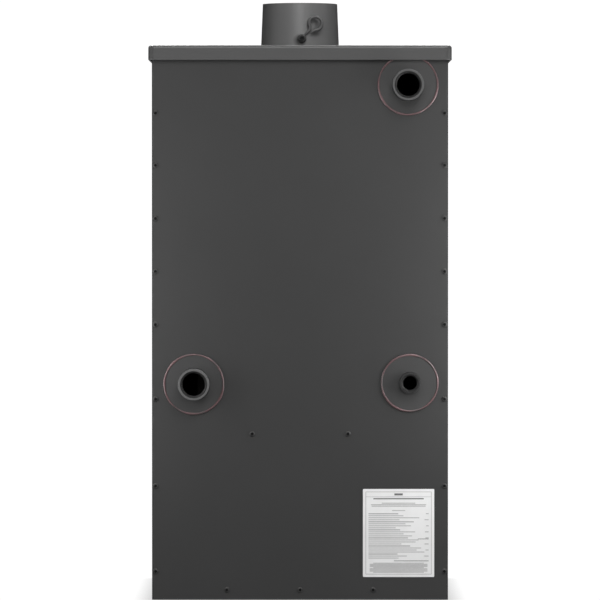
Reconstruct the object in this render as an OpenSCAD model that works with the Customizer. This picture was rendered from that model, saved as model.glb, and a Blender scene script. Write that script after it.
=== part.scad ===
// Boiler stove: a wood-fired room stove with a water jacket, seen in the photograph from behind.
// Millimetres. The floor is z = 0, the front faces -Y, the pipe connections face +Y.

/* [Casing] */
// Width of the casing from side to side
case_w = 494; // [470:2:540]
// Depth of the casing from front to rear
case_d = 520; // [500:2:580]
// Height from the floor to the top of the top plate
body_h = 926; // [916:2:980]
// Thickness of the casing sheets
sheet_t = 1.5; // [1:0.25:2]
// Thickness of the front plate
front_t = 5; // [4:0.5:6]
// Gap between the casing sheets and the floor
floor_gap = 1; // [0.5:0.5:5]
// Width of the folded flanges on the side panels
flange_w = 16; // [14:1:18]
// Distance from the casing's side to the edge of the rear panel
rear_inset = 2.7; // [1.5:0.1:4]
// Distance from the casing's side to the column of panel screws
screw_inset = 6; // [5:0.5:8]
// Radius of a panel screw's head
screw_head_r = 3.7; // [3:0.1:4.5]
// Height of a panel screw's head
screw_head_h = 2.2; // [1.5:0.1:3]
// Radius of a panel screw's shank
screw_shank_r = 2.1; // [1.5:0.1:2.5]
// Length of a panel screw's shank below its head
screw_shank_l = 9; // [6:0.5:12]
// Across-corner radius of the recess in a panel screw's head
screw_recess_r = 1.7; // [1.2:0.1:2]
// Depth of the recess in a panel screw's head
screw_recess_h = 1.2; // [0.8:0.1:1.4]

/* [Base] */
// Height of the two floor rails
rail_h = 20; // [15:1:30]
// Width of a floor rail
rail_w = 30; // [20:1:40]
// Wall of a floor rail's tube
rail_wall = 2; // [1.5:0.5:3]
// Distance from the casing's side to the middle of a floor rail
rail_side = 62; // [45:1:87]
// Distance that a floor rail stops short of the casing's front and rear
rail_inset = 15; // [10:1:40]
// Width of the flat tie between the floor rails
tie_w = 40; // [25:1:80]
// Thickness of the flat tie
tie_t = 6; // [4:1:10]
// Thickness of the base plate
base_t = 2; // [1.5:0.5:3]
// Height of the base plate's folded edge
base_edge_h = 16; // [12:1:17]

/* [Top plate] */
// Distance that the top plate stands out past the casing
top_overhang = 6; // [5:0.5:12]
// Height of the top plate's folded lip
lip_h = 24.5; // [18:0.5:26]
// Thickness of the lip
lip_t = 3; // [2:0.5:3.5]
// Thickness of the top plate's deck
deck_t = 4; // [3:0.5:6]
// Radius along the top edge of the top plate
top_edge_r = 5; // [3:0.5:6]
// Radius of the top plate's corners seen from above
top_corner_r = 10; // [8:0.5:16]
// Gap all round between the top plate and the flue spigot
spigot_gap = 2; // [1:0.5:4]

/* [Flue spigot] */
// Distance from the firebox's rear wall forward to the middle of the flue
flue_fore = 72; // [69:1:90]
// Outer radius of the spigot at its top
spigot_top_r = 63; // [62:0.5:66]
// Outer radius of the spigot where it leaves the top plate
spigot_base_r = 66; // [64:0.5:70]
// Height of the spigot above the top plate
spigot_h = 74; // [65:1:80]
// Radius of the bore that takes the flue pipe
pipe_bore_r = 60.5; // [60:0.1:61]
// Depth of the bore that takes the flue pipe
pipe_bore_h = 42; // [35:1:45]
// Radius of the gas way below the flue pipe's bore
gas_way_r = 58.5; // [58:0.1:59.5]
// Outer radius of the spigot's flange
spigot_flange_r = 84; // [82:1:88]
// Thickness of the spigot's flange
spigot_flange_t = 5; // [4:0.5:7]
// Thickness of the gasket under the flange
gasket_t = 3; // [2:0.5:4]
// Radius of the circle that the flange's studs stand on
stud_circle_r = 75; // [74:0.5:76]
// Radius of a flange stud
stud_r = 4; // [3:0.5:4]
// Distance that a stud stands up past its nut
stud_proud = 3; // [1:0.5:5]
// Thickness of a flange nut
nut_h = 6.5; // [5:0.5:8]
// Across-corner radius of a flange nut
nut_r = 7.5; // [6.5:0.5:8]
// Wall of the ring that carries the gas way through the water jacket
outlet_wall = 5; // [4:0.5:6]

/* [Damper] */
// Height of the damper's axis above the top plate
damper_rise = 14; // [12:1:18]
// Turn of the damper's axis seen from above
damper_turn = 2.7; // [0:0.1:10]
// Running gap round the closed damper disc
damper_gap = 1; // [0.8:0.1:2]
// Thickness of the damper disc
damper_t = 3; // [2:0.5:3]
// Radius of the damper's spindle
damper_spindle_r = 4; // [3.5:0.1:4.5]
// Height of the flat on the spindle above its axis
damper_flat = 2.5; // [2:0.1:3]
// Distance that the spindle stands out in front of the spigot
damper_front_proud = 3; // [1:0.5:5]
// Radius of the collar on the outer end of the spindle
damper_collar_r = 7.5; // [7:0.5:10]
// Thickness of the collar
damper_collar_t = 4; // [3:0.5:5]
// Distance that the spindle stands out behind its collar
damper_rear_proud = 4; // [2:0.5:6]
// Distance from the damper's axis to the middle of the wire handle's loop
damper_arm_l = 34; // [30:1:38]
// Angle of the wire handle above the level
damper_arm_angle = 48; // [40:1:65]
// Radius of the loop to the middle of its wire
damper_loop_r = 11; // [10:0.5:14]
// Radius of the wire of the handle's loop
damper_wire_r = 3; // [2:0.1:3.2]
// Radius of the link between the collar and the loop
damper_link_r = 1.8; // [1.4:0.1:1.8]

/* [Rear connections] */
// Distance from the boiler's side to the middle of the supply socket
supply_inset = 30; // [26:1:38]
// Distance from the top of the boiler down to the supply socket
supply_drop = 32; // [31:1:60]
// Distance from the boiler's side to the middle of the return socket
return_inset = 33; // [26:1:50]
// Height of the return socket above the bottom of the boiler
return_rise = 39; // [34:1:80]
// Distance from the boiler's side to the middle of the drain socket
drain_inset = 27; // [24:1:50]
// Height of the drain socket above the bottom of the boiler
drain_rise = 41; // [34:1:80]
// Outer radius of the supply and return sockets
socket_r = 26; // [25:0.5:27]
// Thread radius of the supply and return sockets
socket_bore_r = 20.2; // [19:0.1:21]
// Outer radius of the drain socket
drain_r = 17.5; // [16:0.5:19]
// Thread radius of the drain socket
drain_bore_r = 12.6; // [12:0.1:13.5]
// Distance that the large sockets stand out behind the rear panel
socket_proud = 26; // [20:1:40]
// Distance that the drain socket stands out behind the rear panel
drain_proud = 12; // [8:1:30]
// Depth of the chamfer at a socket's mouth
socket_chamfer = 1.2; // [0.5:0.1:2]
// Radius of the rosettes round the large sockets
rosette_r = 49.5; // [46:0.5:52]
// Radius of the rosette round the drain socket
drain_rosette_r = 47; // [40:0.5:50]
// Thickness of a rosette
rosette_t = 1.5; // [1:0.25:2]
// Gap between a rosette and its socket
rosette_gap = 0.4; // [0.2:0.1:1]
// Width of the silicone seal round a rosette
seal_w = 1.3; // [0.8:0.1:2]
// Thickness of the silicone seal round a rosette
seal_t = 1.2; // [0.8:0.1:1.4]
// Gap between a socket and the edge of its hole in the rear panel
panel_hole_gap = 6; // [4:1:10]
// Width of the blank rating plate
rating_w = 119; // [90:1:130]
// Height of the blank rating plate
rating_h = 147; // [100:1:160]
// Thickness of the blank rating plate
rating_t = 0.6; // [0.4:0.1:1]
// Corner radius of the blank rating plate
rating_corner_r = 1.5; // [0.5:0.5:4]
// Distance from the casing's side to the middle of the rating plate
rating_inset = 82.5; // [77:0.5:117]
// Height of the middle of the rating plate
rating_z = 112.6; // [100:0.1:130]

/* [Boiler] */
// Gap between the boiler and the casing at each side
side_gap = 37; // [35:1:45]
// Gap between the boiler and the rear of the casing
rear_gap = 25; // [20:1:35]
// Gap between the boiler and the top plate's deck
top_gap = 30; // [26:1:40]
// Distance between the jacket's inner and outer walls, outside to inside
jacket_w = 43; // [40:1:48]
// Thickness of the firebox's wall
inner_t = 5; // [4:0.5:6]
// Thickness of the boiler's outer wall
outer_t = 4; // [3:0.5:5]
// Thickness of the strips that close the jacket
strip_t = 5; // [4:0.5:6]
// Height of the wood space below the ash space
wood_space_h = 200; // [195:1:215]
// Height of the ash space below the boiler
ash_space_h = 97; // [95:1:110]
// Thickness of the lower body's plates
lower_t = 3; // [2:0.5:4]
// Radius of the spacers between the lower body and the rear panel
spacer_r = 8; // [6:0.5:12]
// Thickness of the shelf under the ash pan
shelf_t = 3; // [2:0.5:4]
// Outer radius of a water tube
tube_r = 18; // [15:0.5:19]
// Wall of a water tube
tube_wall = 3; // [2:0.5:4]
// Distance between neighbouring water tubes in a row
tube_pitch = 60; // [54:1:62]
// Height of the lower row of water tubes above the baffle
tube_rise = 50; // [46:1:54]
// Height of the upper row of water tubes above the lower row
tube_row_h = 42; // [40:1:44]
// Distance from the middle of the stove forward to the first lower tube
tube_first = 80; // [75:1:85]

/* [Firebox] */
// Thickness of the grate's frame
grate_frame_t = 14; // [12:1:16]
// Distance from the firebox's wall to the side of the grate
grate_side = 46; // [42:1:67]
// Depth of the grate
grate_d = 262; // [200:2:280]
// Thickness of the grate
grate_t = 12; // [9:1:14]
// Width of the ledge that the grate lies on
grate_ledge = 9; // [6:1:12]
// Depth of the ledge below the top of the frame
grate_sink = 8; // [6:1:9]
// Gap round the grate
grate_gap = 1; // [0.5:0.5:3]
// Width of a slot in the grate
slot_w = 10; // [8:1:12]
// Number of slots in the grate
slot_count = 9; // [5:1:9]
// Distance that the slots stop short of the grate's edges
slot_margin = 22; // [15:1:40]
// Distance from the middle of the stove forward to the middle of the grate
grate_forward = 20; // [0:5:40]
// Thickness of a firebrick
brick_t = 25; // [20:1:30]
// Height of a firebrick
brick_h = 200; // [150:5:220]
// Joint between neighbouring bricks and the walls
brick_gap = 0.5; // [0.3:0.1:1]
// Distance from the front plate back to the side bricks
brick_front = 55; // [45:1:70]
// Height of the log retainer
retainer_h = 60; // [40:1:80]
// Thickness of the log retainer
retainer_t = 8; // [6:1:10]
// Distance between the log retainer and the side bricks
retainer_gap = 4; // [2:1:6]
// Width of an opening in the log retainer
retainer_slot_w = 22; // [16:1:26]
// Height of an opening in the log retainer
retainer_slot_h = 32; // [20:1:36]
// Length of the log retainer left beyond its end openings
retainer_end = 12.5; // [10:0.5:24]
// Number of openings in the log retainer
retainer_slots = 7; // [5:1:7]
// Height of the firebox's roof above the underside of the baffle
baffle_drop = 147; // [141:1:170]
// Thickness of the baffle
baffle_t = 25; // [20:1:30]
// Distance between the front plate and the baffle
baffle_front = 115; // [100:5:130]
// Width of a baffle bracket's level leg
bracket_w = 20; // [15:1:25]
// Thickness of a baffle bracket
bracket_t = 4; // [3:0.5:5]
// Height of a baffle bracket's upright leg
bracket_h = 24; // [18:1:30]

/* [Fire door] */
// Distance that the fire door stops short of the casing at each side
door_side = 47; // [47:1:52]
// Distance that the fire door's height falls short of the firebox's height
door_short = 93; // [91:1:99]
// Height of the door's lower edge above the bottom of the boiler
door_rise = 12; // [10:1:14]
// Thickness of the door frame
door_t = 22; // [20:0.5:26]
// Gap between the door frame and the front plate
door_gap = 2; // [1.5:0.5:4]
// Corner radius of the door frame
door_corner_r = 12; // [6:1:16]
// Distance from the door's side to the opening in the front plate
door_lap_x = 52; // [50:1:53]
// Distance from the door's upper and lower edge to the opening
door_lap_z = 32; // [30:1:34]
// Distance from the door's side to the edge of the window
stile_w = 82; // [80:1:84]
// Distance from the door's upper and lower edge to the window
rail_band = 60; // [58:1:66]
// Height of the raised bead round the window
bead_h = 2; // [1:0.5:4]
// Width of the raised bead round the window
bead_w = 8; // [5:1:10]
// Corner radius of the window
window_corner_r = 8; // [4:1:12]
// Depth of the recess inside the rope's groove on the door's rear
door_recess = 7; // [5:0.5:8]
// Thickness of the door's glass
glass_t = 4; // [3:0.5:5]
// Distance that the glass reaches past the window's edge
glass_lap = 10; // [8:1:12]
// Gap round the edge of the glass
glass_gap = 1; // [0.5:0.5:2]
// Thickness of the flat gasket in front of the glass
glass_gasket_t = 2; // [1:0.5:3]
// Width of the flat gasket
glass_gasket_w = 8; // [6:1:9]
// Distance from the door's side to the middle of the rope
rope_inset_x = 35; // [33:1:36]
// Distance from the door's upper and lower edge to the middle of the rope
rope_inset_z = 16; // [14:1:18]
// Width of the rope seal
rope_w = 12; // [10:1:13]
// Depth of the rope's groove
rope_groove = 8; // [6:0.5:9]
// Gap between the rope and the front plate
rope_gap = 0.3; // [0.2:0.1:0.5]
// Length of a glass clip
clip_l = 26; // [20:1:28]
// Width of a glass clip
clip_w = 14; // [10:1:18]
// Thickness of a glass clip
clip_t = 2; // [1.5:0.5:3]
// Radius of a clip screw
clip_screw_r = 2; // [1.5:0.5:2.5]
// Distance between the hinge axis and the door's side
hinge_out = 10; // [9.5:0.5:12]
// Distance between the hinge axis and the front plate
hinge_fore = 12; // [10:0.5:14]
// Radius of a hinge knuckle
knuckle_r = 8; // [7:0.5:9]
// Height of a door knuckle
knuckle_h = 30; // [24:1:40]
// Height of a bracket knuckle
bracket_knuckle_h = 16; // [12:1:24]
// Radius of a hinge pin
pin_r = 4; // [3:0.5:5]
// Radial running clearance of a hinge pin or a spindle
run_clear = 0.06; // [0.03:0.01:0.09]
// Distance from the middle of the door to a hinge, up and down
hinge_spread = 120; // [100:5:150]
// Width of the arm of a hinge bracket
hinge_arm_w = 12; // [8:1:13]
// Gap between a door knuckle and the bracket under it
hinge_gap = 0.3; // [0.2:0.1:0.5]
// Distance that a hinge pin stops short of the top of its knuckle
pin_short = 2; // [1:0.5:5]

/* [Door handle] */
// Distance from the door's side to the handle's spindle
spindle_inset = 62; // [60:0.5:63]
// Distance from the middle of the door down to the handle's spindle
spindle_drop = 5; // [0:1:30]
// Radius of the handle's spindle
spindle_r = 6; // [5:0.5:6]
// Radius of the boss round the spindle on the door's rear
boss_r = 12; // [10:0.5:13]
// Length of the latch cam from the spindle's axis
cam_l = 26; // [22:1:27]
// Width of the latch cam
cam_w = 12; // [10:0.5:13]
// Thickness of the latch cam
cam_t = 8; // [5:0.5:10]
// Gap between the latch cam and the front plate
cam_gap = 1; // [0.5:0.5:2]
// Distance from the door's front to the axis of the grip
grip_out = 34; // [30:1:45]
// Radius of the lever's hub
hub_r = 11; // [9:0.5:13]
// Length of the lever's hub
hub_l = 16; // [12:1:20]
// Radius of the rod through the grip
lever_r = 4; // [3:0.5:5]
// Length of the grip
grip_l = 78; // [60:1:80]
// Radius of the grip
grip_r = 10; // [8:0.5:12]
// Distance between the spindle's axis and the grip
grip_start = 18; // [15:1:22]
// Height of the rounded cap at the end of the lever
lever_cap_l = 4; // [2:0.5:6]

/* [Ash drawer] */
// Distance from the firebox's wall to the side of the ash pan
ash_side = 27; // [22:1:37]
// Outer height of the ash pan
ash_h = 62; // [50:1:66]
// Length of the ash pan behind the front plate's rear
ash_l = 405; // [380:5:420]
// Wall of the ash pan
ash_wall = 1.5; // [1:0.25:2]
// Distance between the drawer front and the ash pan's front wall
ash_air_l = 20; // [16:1:30]
// Height of the opening for the ash drawer
ash_open_h = 80; // [76:1:84]
// Gap between a drawer and the sides of its opening
open_gap = 3; // [2:0.5:5]
// Height of the opening's sill below the ash pan
sill_drop = 2; // [1:0.5:2.5]
// Distance that the drawer front covers above and below the opening
ash_lap_z = 8; // [6:1:10]
// Distance that the drawer front covers beside the opening
ash_lap_x = 17; // [12:1:25]
// Thickness of the drawer fronts
drawer_t = 5; // [4:0.5:6]
// Gap between the drawer fronts and the front plate
drawer_gap = 1; // [0.5:0.5:2]
// Corner radius of the drawer fronts
drawer_corner_r = 8; // [4:1:12]
// Height of the ribs that a drawer slides on
rib_h = 2.7; // [2:0.1:4]
// Width of a rib
rib_w = 18; // [12:1:24]
// Gap between a drawer and its ribs
slide_gap = 0.3; // [0.2:0.1:0.5]
// Distance that a rib lies inside the side of its drawer
rib_inset = 4; // [2:1:10]
// Radius of the air disc
air_disc_r = 33; // [31:1:36]
// Thickness of the air disc
air_disc_t = 3; // [2:0.5:4]
// Gap between the air disc and the drawer front
air_disc_gap = 0.3; // [0.2:0.1:0.5]
// Radius of the circle of air holes
air_circle_r = 21; // [20:0.5:23]
// Radius of an air hole
air_hole_r = 7; // [6:0.5:7]
// Number of air holes
air_hole_count = 4; // [3:1:4]
// Radius of the air disc's bolt
air_bolt_r = 4; // [3:0.5:5]
// Radius of the air disc's knob
air_knob_r = 12; // [9:0.5:13]
// Length of the air disc's knob
air_knob_l = 20; // [14:1:26]
// Radius of the collar behind the drawer front
air_collar_r = 8; // [6:0.5:10]
// Thickness of the collar behind the drawer front
air_collar_t = 4; // [3:0.5:6]

/* [Wood drawer] */
// Gap between the wood box and the lower body at each side
wood_side = 9; // [8:1:17]
// Outer height of the wood box
wood_h = 168; // [150:1:170]
// Length of the wood box behind the front plate's rear
wood_l = 455; // [400:5:460]
// Wall of the wood box
wood_wall = 1.5; // [1:0.25:2]
// Distance that the drawer front covers above and below the wood box
wood_lap_z = 16; // [12:1:16]
// Distance that the drawer front covers beside the wood box
wood_lap_x = 27; // [15:1:30]
// Distance between the posts of the wood drawer's handle
wood_handle_w = 128; // [96:4:200]
// Radius of the wood drawer's handle
wood_handle_r = 6; // [5:0.5:8]
// Distance from the drawer front to the axis of the handle's bar
wood_handle_out = 26; // [24:1:40]
// Distance from the top of the drawer front down to the handle
wood_handle_drop = 55; // [30:1:80]

/* [Air slide] */
// Height of the slide's middle above the door
slide_rise = 36; // [34:1:38]
// Distance from the firebox's wall to the end of the slide
slide_side = 17; // [17:1:22]
// Height of the slide
slide_h = 24; // [20:1:26]
// Thickness of the slide
slide_t = 2; // [1.5:0.5:3]
// Width of the slide left beyond the end air windows
window_edge = 20; // [18:1:26]
// Distance that the slide covers past an air window when shut
window_lap = 2; // [1:0.5:6]
// Height of an air window
window_h = 9; // [6:1:12]
// Number of air windows
window_count = 5; // [3:1:5]
// Width of the strip that guides the slide
guide_w = 9; // [7:1:12]
// Distance that a guide's lip covers the slide
guide_lip = 3; // [2:0.5:4]
// Thickness of a guide's lip
guide_lip_t = 2; // [1:0.5:3]
// Length that a guide reaches past the slide at each end
guide_past = 32; // [30:1:36]
// Distance from the end of the slide to the middle of its knob
slide_knob_side = 25; // [20:1:35]
// Radius of the slide's knob
slide_knob_r = 8; // [6:0.5:9]
// Length of the slide's knob
slide_knob_l = 16; // [12:1:20]
// Radius of the neck of the slide's knob
slide_neck_r = 4; // [3:0.5:5]
// Length of the neck of the slide's knob
slide_neck_l = 6; // [4:0.5:8]
// Depth of the air channel behind the front plate
channel_d = 12; // [8:1:16]
// Distance that the air channel reaches above the air windows
channel_up = 20; // [15:1:24]
// Distance that the air channel reaches below the air windows
channel_down = 60; // [40:2:64]
// Thickness of the sheet that closes the air channel
channel_t = 2; // [1.5:0.5:3]

/* [Thermometer] */
// Outer radius of the thermometer's case
gauge_r = 29; // [26:0.5:29]
// Depth of the thermometer's case
gauge_d = 9; // [8:0.5:14]
// Width of the case's rim
gauge_rim = 2.5; // [1.5:0.5:3]
// Thickness of the back of the case
gauge_back = 2.5; // [2:0.5:3]
// Thickness of the dial
dial_t = 0.8; // [0.5:0.1:1]
// Thickness of the lens
lens_t = 1.5; // [1:0.5:2]
// Depth of the lens behind the case's rim
lens_sink = 0.5; // [0.3:0.1:1]
// Radius of the stem that stands in the water
stem_r = 4.5; // [3:0.5:6]
// Length of the stem behind the front plate
stem_l = 60; // [40:1:80]
// Length of the needle from its axis
needle_l = 20; // [14:1:22]
// Length of the needle's tail
needle_tail = 6; // [4:1:8]
// Width of the needle
needle_w = 1.8; // [1:0.1:2.5]
// Thickness of the needle
needle_t = 0.6; // [0.4:0.1:0.8]
// Radius of the needle's hub
needle_hub_r = 3; // [2:0.5:4]
// Gap between the needle and the dial
needle_gap = 1; // [0.8:0.1:1.2]
// Radius of the needle's arbor
arbor_r = 0.8; // [0.6:0.1:1]
// Running clearance of the needle's arbor
arbor_clear = 0.06; // [0.03:0.01:0.09]

/* [Hidden] */
$fn = 48;
// Overrun of every cut past the face that it opens
over = 1;
// Sides of a nut or a recess that takes a key
hex_fn = 6;

// Heights of the panel screws in each side column, as shares of the casing's height
side_screw_shares = [0.0524, 0.2063, 0.3629, 0.4973, 0.5929, 0.6885, 0.784, 0.878];
// Places of the screws across the middle and the bottom of the rear panel
mid_screw_x = 80;
mid_screw_drop = 44;
low_screw_inset = 125;
low_screw_drop = 2.5;
// Gap between the base plate's rear fold and the side panels' flanges
rear_fold_gap = 1;
// Angle between neighbouring flange studs
stud_step_angle = 90;
// Angle from the stove's right to the first flange stud
stud_start_angle = 45;
// Share of the disc's radius at which its rivets stand
rivet_share = 0.45;
// Radius and height of a damper rivet
rivet_r = 2.5;
rivet_h = 1.5;
// Radius of the recess in the outer end of the damper's spindle
spindle_dimple_r = 2.8;
spindle_dimple_h = 4;
// Depth of the bore that holds the needle's arbor
arbor_seat = 1.5;
// Depth of the taper at the front end of a knob
knob_edge = 2;
// Places of the glass clips, as shares of the window's half height
clip_shares = [-0.8, -0.3, 0.4, 0.8];

// Casing faces
half_w = case_w / 2;
half_d = case_d / 2;
front_y = -half_d;
plate_rear_y = front_y + front_t;
deck_z = body_h - deck_t;
lip_z = body_h - lip_h;
panel_y = half_d - sheet_t;

// Stack of levels from the floor up
base_z = rail_h;
base_top = base_z + base_t;
shelf_z = base_top + wood_space_h;
shelf_top = shelf_z + shelf_t;
boiler_z = shelf_top + ash_space_h;
boiler_top = deck_z - top_gap;

// Boiler walls, outer then inner
boiler_x = half_w - side_gap;
boiler_y = half_d - rear_gap;
boiler_front = plate_rear_y + strip_t;
fire_x = boiler_x - jacket_w;
fire_y = boiler_y - jacket_w - inner_t;
fire_top = boiler_top - jacket_w - outer_t / 2;

// Widths that follow the casing
rail_x = half_w - rail_side;
low_screw_x = half_w - low_screw_inset;
low_screw_z = base_z - low_screw_drop;
mid_screw_z = boiler_z - mid_screw_drop;
flue_y = fire_y - flue_fore;
rating_x = half_w - rating_inset;
door_w = case_w - 2 * door_side;
door_h = fire_top - boiler_z - door_short;
retainer_pitch = (2 * (fire_x - brick_gap) - 2 * retainer_end) / retainer_slots;
grate_w = 2 * (fire_x - grate_side);
slot_pitch = (grate_w - 2 * slot_margin) / slot_count;
ash_w = 2 * (fire_x - ash_side);
wood_w = 2 * (boiler_x - lower_t - wood_side);
slide_w = 2 * (fire_x - slide_side);
window_pitch = (slide_w - 2 * window_edge) / window_count;
window_w = window_pitch / 2 - window_lap;
slide_knob_x = slide_w / 2 - slide_knob_side;

// Flue levels
flange_z = boiler_top + gasket_t;
flange_top = flange_z + spigot_flange_t;
spigot_top = body_h + spigot_h;
spigot_slope = (spigot_base_r - spigot_top_r) / spigot_h;
damper_z = body_h + damper_rise;
damper_r = gas_way_r - damper_gap;
spigot_mid_r = spigot_base_r - spigot_slope * damper_rise;
outlet_r = gas_way_r + outlet_wall;
collar_y = spigot_mid_r + damper_gap;

// Socket places
supply_x = boiler_x - supply_inset;
return_x = boiler_x - return_inset;
drain_x = boiler_x - drain_inset;
supply_z = boiler_top - supply_drop;
return_z = boiler_z + return_rise;
drain_z = boiler_z + drain_rise;

// Firebox levels
frame_top = boiler_z + grate_frame_t;
grate_z = frame_top - grate_sink;
baffle_z = fire_top - baffle_drop;
brick_y0 = plate_rear_y + brick_front;
retainer_y = brick_y0 - retainer_gap - retainer_t;
tube_z = baffle_z + baffle_t + tube_rise;

// Door planes and places
door_z = boiler_z + door_rise + door_h / 2;
door_rear = front_y - door_gap;
door_front = door_rear - door_t;
recess_y = door_rear - door_recess;
glass_front = recess_y - glass_t;
gasket_front = glass_front - glass_gasket_t;
opening_w = door_w - 2 * door_lap_x;
opening_h = door_h - 2 * door_lap_z;
pane_w = door_w - 2 * stile_w;
pane_h = door_h - 2 * rail_band;
glass_w = pane_w + 2 * glass_lap;
glass_h = pane_h + 2 * glass_lap;
rope_x = door_w / 2 - rope_inset_x;
rope_z = door_h / 2 - rope_inset_z;
hinge_x = -door_w / 2 - hinge_out;
hinge_y = front_y - hinge_fore;
spindle_x = door_w / 2 - spindle_inset;
spindle_z = door_z - spindle_drop;
grip_y = door_front - bead_h - grip_out;
cam_y = plate_rear_y + cam_gap;

// Drawer places
drawer_rear = front_y - drawer_gap;
drawer_front = drawer_rear - drawer_t;
ash_z = shelf_top + rib_h + slide_gap;
ash_open_z = ash_z - sill_drop;
ash_mid_z = ash_open_z + ash_open_h / 2;
wood_z = base_top + rib_h + slide_gap;
wood_mid_z = wood_z + wood_h / 2;
wood_front_top = wood_mid_z + wood_h / 2 + wood_lap_z;
wood_handle_z = wood_front_top - wood_handle_drop;
air_y = drawer_front - air_disc_gap;

// Air slide places
slide_z = door_z + door_h / 2 + slide_rise;
slide_travel = window_pitch / 2;
slide_rear = front_y - slide_gap;
slide_front = slide_rear - slide_t;

// Thermometer planes
gauge_z = boiler_top - (jacket_w + outer_t) / 2 + outer_t / 2;
gauge_front = front_y - gauge_d;
dial_rear = front_y - gauge_back;
dial_front = dial_rear - dial_t;
cup_r = gauge_r - gauge_rim;

// Shared shapes

// A box between two opposite corners
module block(low, high) {
    translate(low) cube(high - low);
}

// Round bars along each axis
module rod_x(r, from, to) {
    translate([from, 0, 0]) rotate([0, 90, 0]) cylinder(r = r, h = to - from);
}
module rod_y(r, from, to) {
    translate([0, from, 0]) rotate([-90, 0, 0]) cylinder(r = r, h = to - from);
}
module rod_z(r, from, to) {
    translate([0, 0, from]) cylinder(r = r, h = to - from);
}

// The children, and the same again mirrored to the other side
module both_sides() {
    children();
    mirror([1, 0, 0]) children();
}

// A rectangle with round corners, about the origin
module rounded(w, h, r) {
    square([w - 2 * r, h], center = true);
    square([w, h - 2 * r], center = true);
    for (sx = [-1, 1], sy = [-1, 1])
        translate([sx * (w / 2 - r), sy * (h / 2 - r)]) circle(r = r);
}

// An upright panel with round corners, between two planes across Y
module panel(w, h, r, from, to) {
    translate([0, to, 0]) rotate([90, 0, 0]) linear_extrude(height = to - from) rounded(w, h, r);
}

// An upright frame with square corners, between two planes across Y
module square_ring(w, h, band, from, to) {
    difference() {
        block([-w / 2, from, -h / 2], [w / 2, to, h / 2]);
        block([-w / 2 + band, from - over, -h / 2 + band],
              [w / 2 - band, to + over, h / 2 - band]);
    }
}

// Base

module floor_rail() {
    from = [rail_x - rail_w / 2, -half_d + rail_inset, 0];
    to = [rail_x + rail_w / 2, half_d - rail_inset, rail_h];
    difference() {
        block(from, to);
        block([from[0] + rail_wall, from[1] - over, rail_wall],
              [to[0] - rail_wall, to[1] + over, rail_h - rail_wall]);
    }
}

module floor_rails() {
    x = rail_x - rail_w / 2;
    color("dimgray") {
        both_sides() floor_rail();
        block([-x, -tie_w / 2, 0], [x, tie_w / 2, tie_t]);
    }
}

// The ribs that a drawer slides on, for a drawer of that width
module ribs(w, z, length) {
    both_sides()
        block([w / 2 - rib_inset - rib_w, plate_rear_y, z],
              [w / 2 - rib_inset, plate_rear_y + length, z + rib_h]);
}

module base_plate() {
    x = half_w - sheet_t;
    y = panel_y - base_t;
    low = base_z - base_edge_h;
    color("dimgray") {
        block([-x, plate_rear_y, base_z], [x, y, base_top]);
        block([-x, plate_rear_y, low], [x, plate_rear_y + base_t, base_z]);
        both_sides() block([x - base_t, plate_rear_y, low], [x, y - flange_w, base_z]);
        rear_x = half_w - flange_w - rear_fold_gap;
        difference() {
            block([-rear_x, y, low], [rear_x, panel_y, base_top]);
            low_screws() screw_hole();
        }
        ribs(wood_w, base_top, wood_l);
    }
}

// Lower body and boiler

module lower_body() {
    color("dimgray") difference() {
        union() {
            block([-boiler_x, plate_rear_y, base_top], [boiler_x, boiler_y, boiler_z]);
            mid_screws() rod_y(spacer_r, boiler_y - half_d, panel_y - half_d);
        }
        block([-boiler_x + lower_t, plate_rear_y - over, base_top - over],
              [boiler_x - lower_t, boiler_y - lower_t, boiler_z + over]);
        mid_screws() screw_hole();
    }
}

module ash_shelf() {
    x = boiler_x - lower_t;
    color("dimgray") {
        block([-x, plate_rear_y, shelf_z], [x, boiler_y - lower_t, shelf_top]);
        ribs(ash_w, shelf_top, ash_l);
    }
}

module boiler_wrapper() {
    x = boiler_x;
    color("saddlebrown") difference() {
        block([-x, boiler_front, boiler_z], [x, boiler_y - outer_t, boiler_top]);
        block([-x + outer_t, boiler_front - over, boiler_z - over],
              [x - outer_t, boiler_y, boiler_top - outer_t]);
        translate([0, flue_y, 0]) rod_z(outlet_r, boiler_z, boiler_top + over);
    }
}

// The children at each socket's place: the two large sockets, then the drain
module at_supply() {
    translate([-supply_x, 0, supply_z]) children();
}
module at_return() {
    translate([return_x, 0, return_z]) children();
}
module at_drain() {
    translate([-drain_x, 0, drain_z]) children();
}

module boiler_rear_plate() {
    color("saddlebrown") difference() {
        block([-boiler_x, boiler_y - outer_t, boiler_z], [boiler_x, boiler_y, boiler_top]);
        at_supply() rod_y(socket_r, boiler_y - outer_t - over, boiler_y + over);
        at_return() rod_y(socket_r, boiler_y - outer_t - over, boiler_y + over);
        at_drain() rod_y(drain_r, boiler_y - outer_t - over, boiler_y + over);
    }
}

// The children at each water tube's axis
module at_tubes() {
    for (row = [0, 1], i = [0 : 3 - row])
        translate([0, -tube_first + tube_pitch * (i - row / 2), tube_z + row * tube_row_h]) children();
}

module firebox_shell() {
    x = fire_x + inner_t;
    color("saddlebrown") difference() {
        block([-x, boiler_front, boiler_z], [x, fire_y + inner_t, fire_top + inner_t]);
        block([-fire_x, boiler_front - over, boiler_z - over], [fire_x, fire_y, fire_top]);
        translate([0, flue_y, 0]) rod_z(outlet_r, fire_top - over, fire_top + inner_t + over);
        at_tubes() rod_x(tube_r, -x - over, x + over);
    }
}

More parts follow.
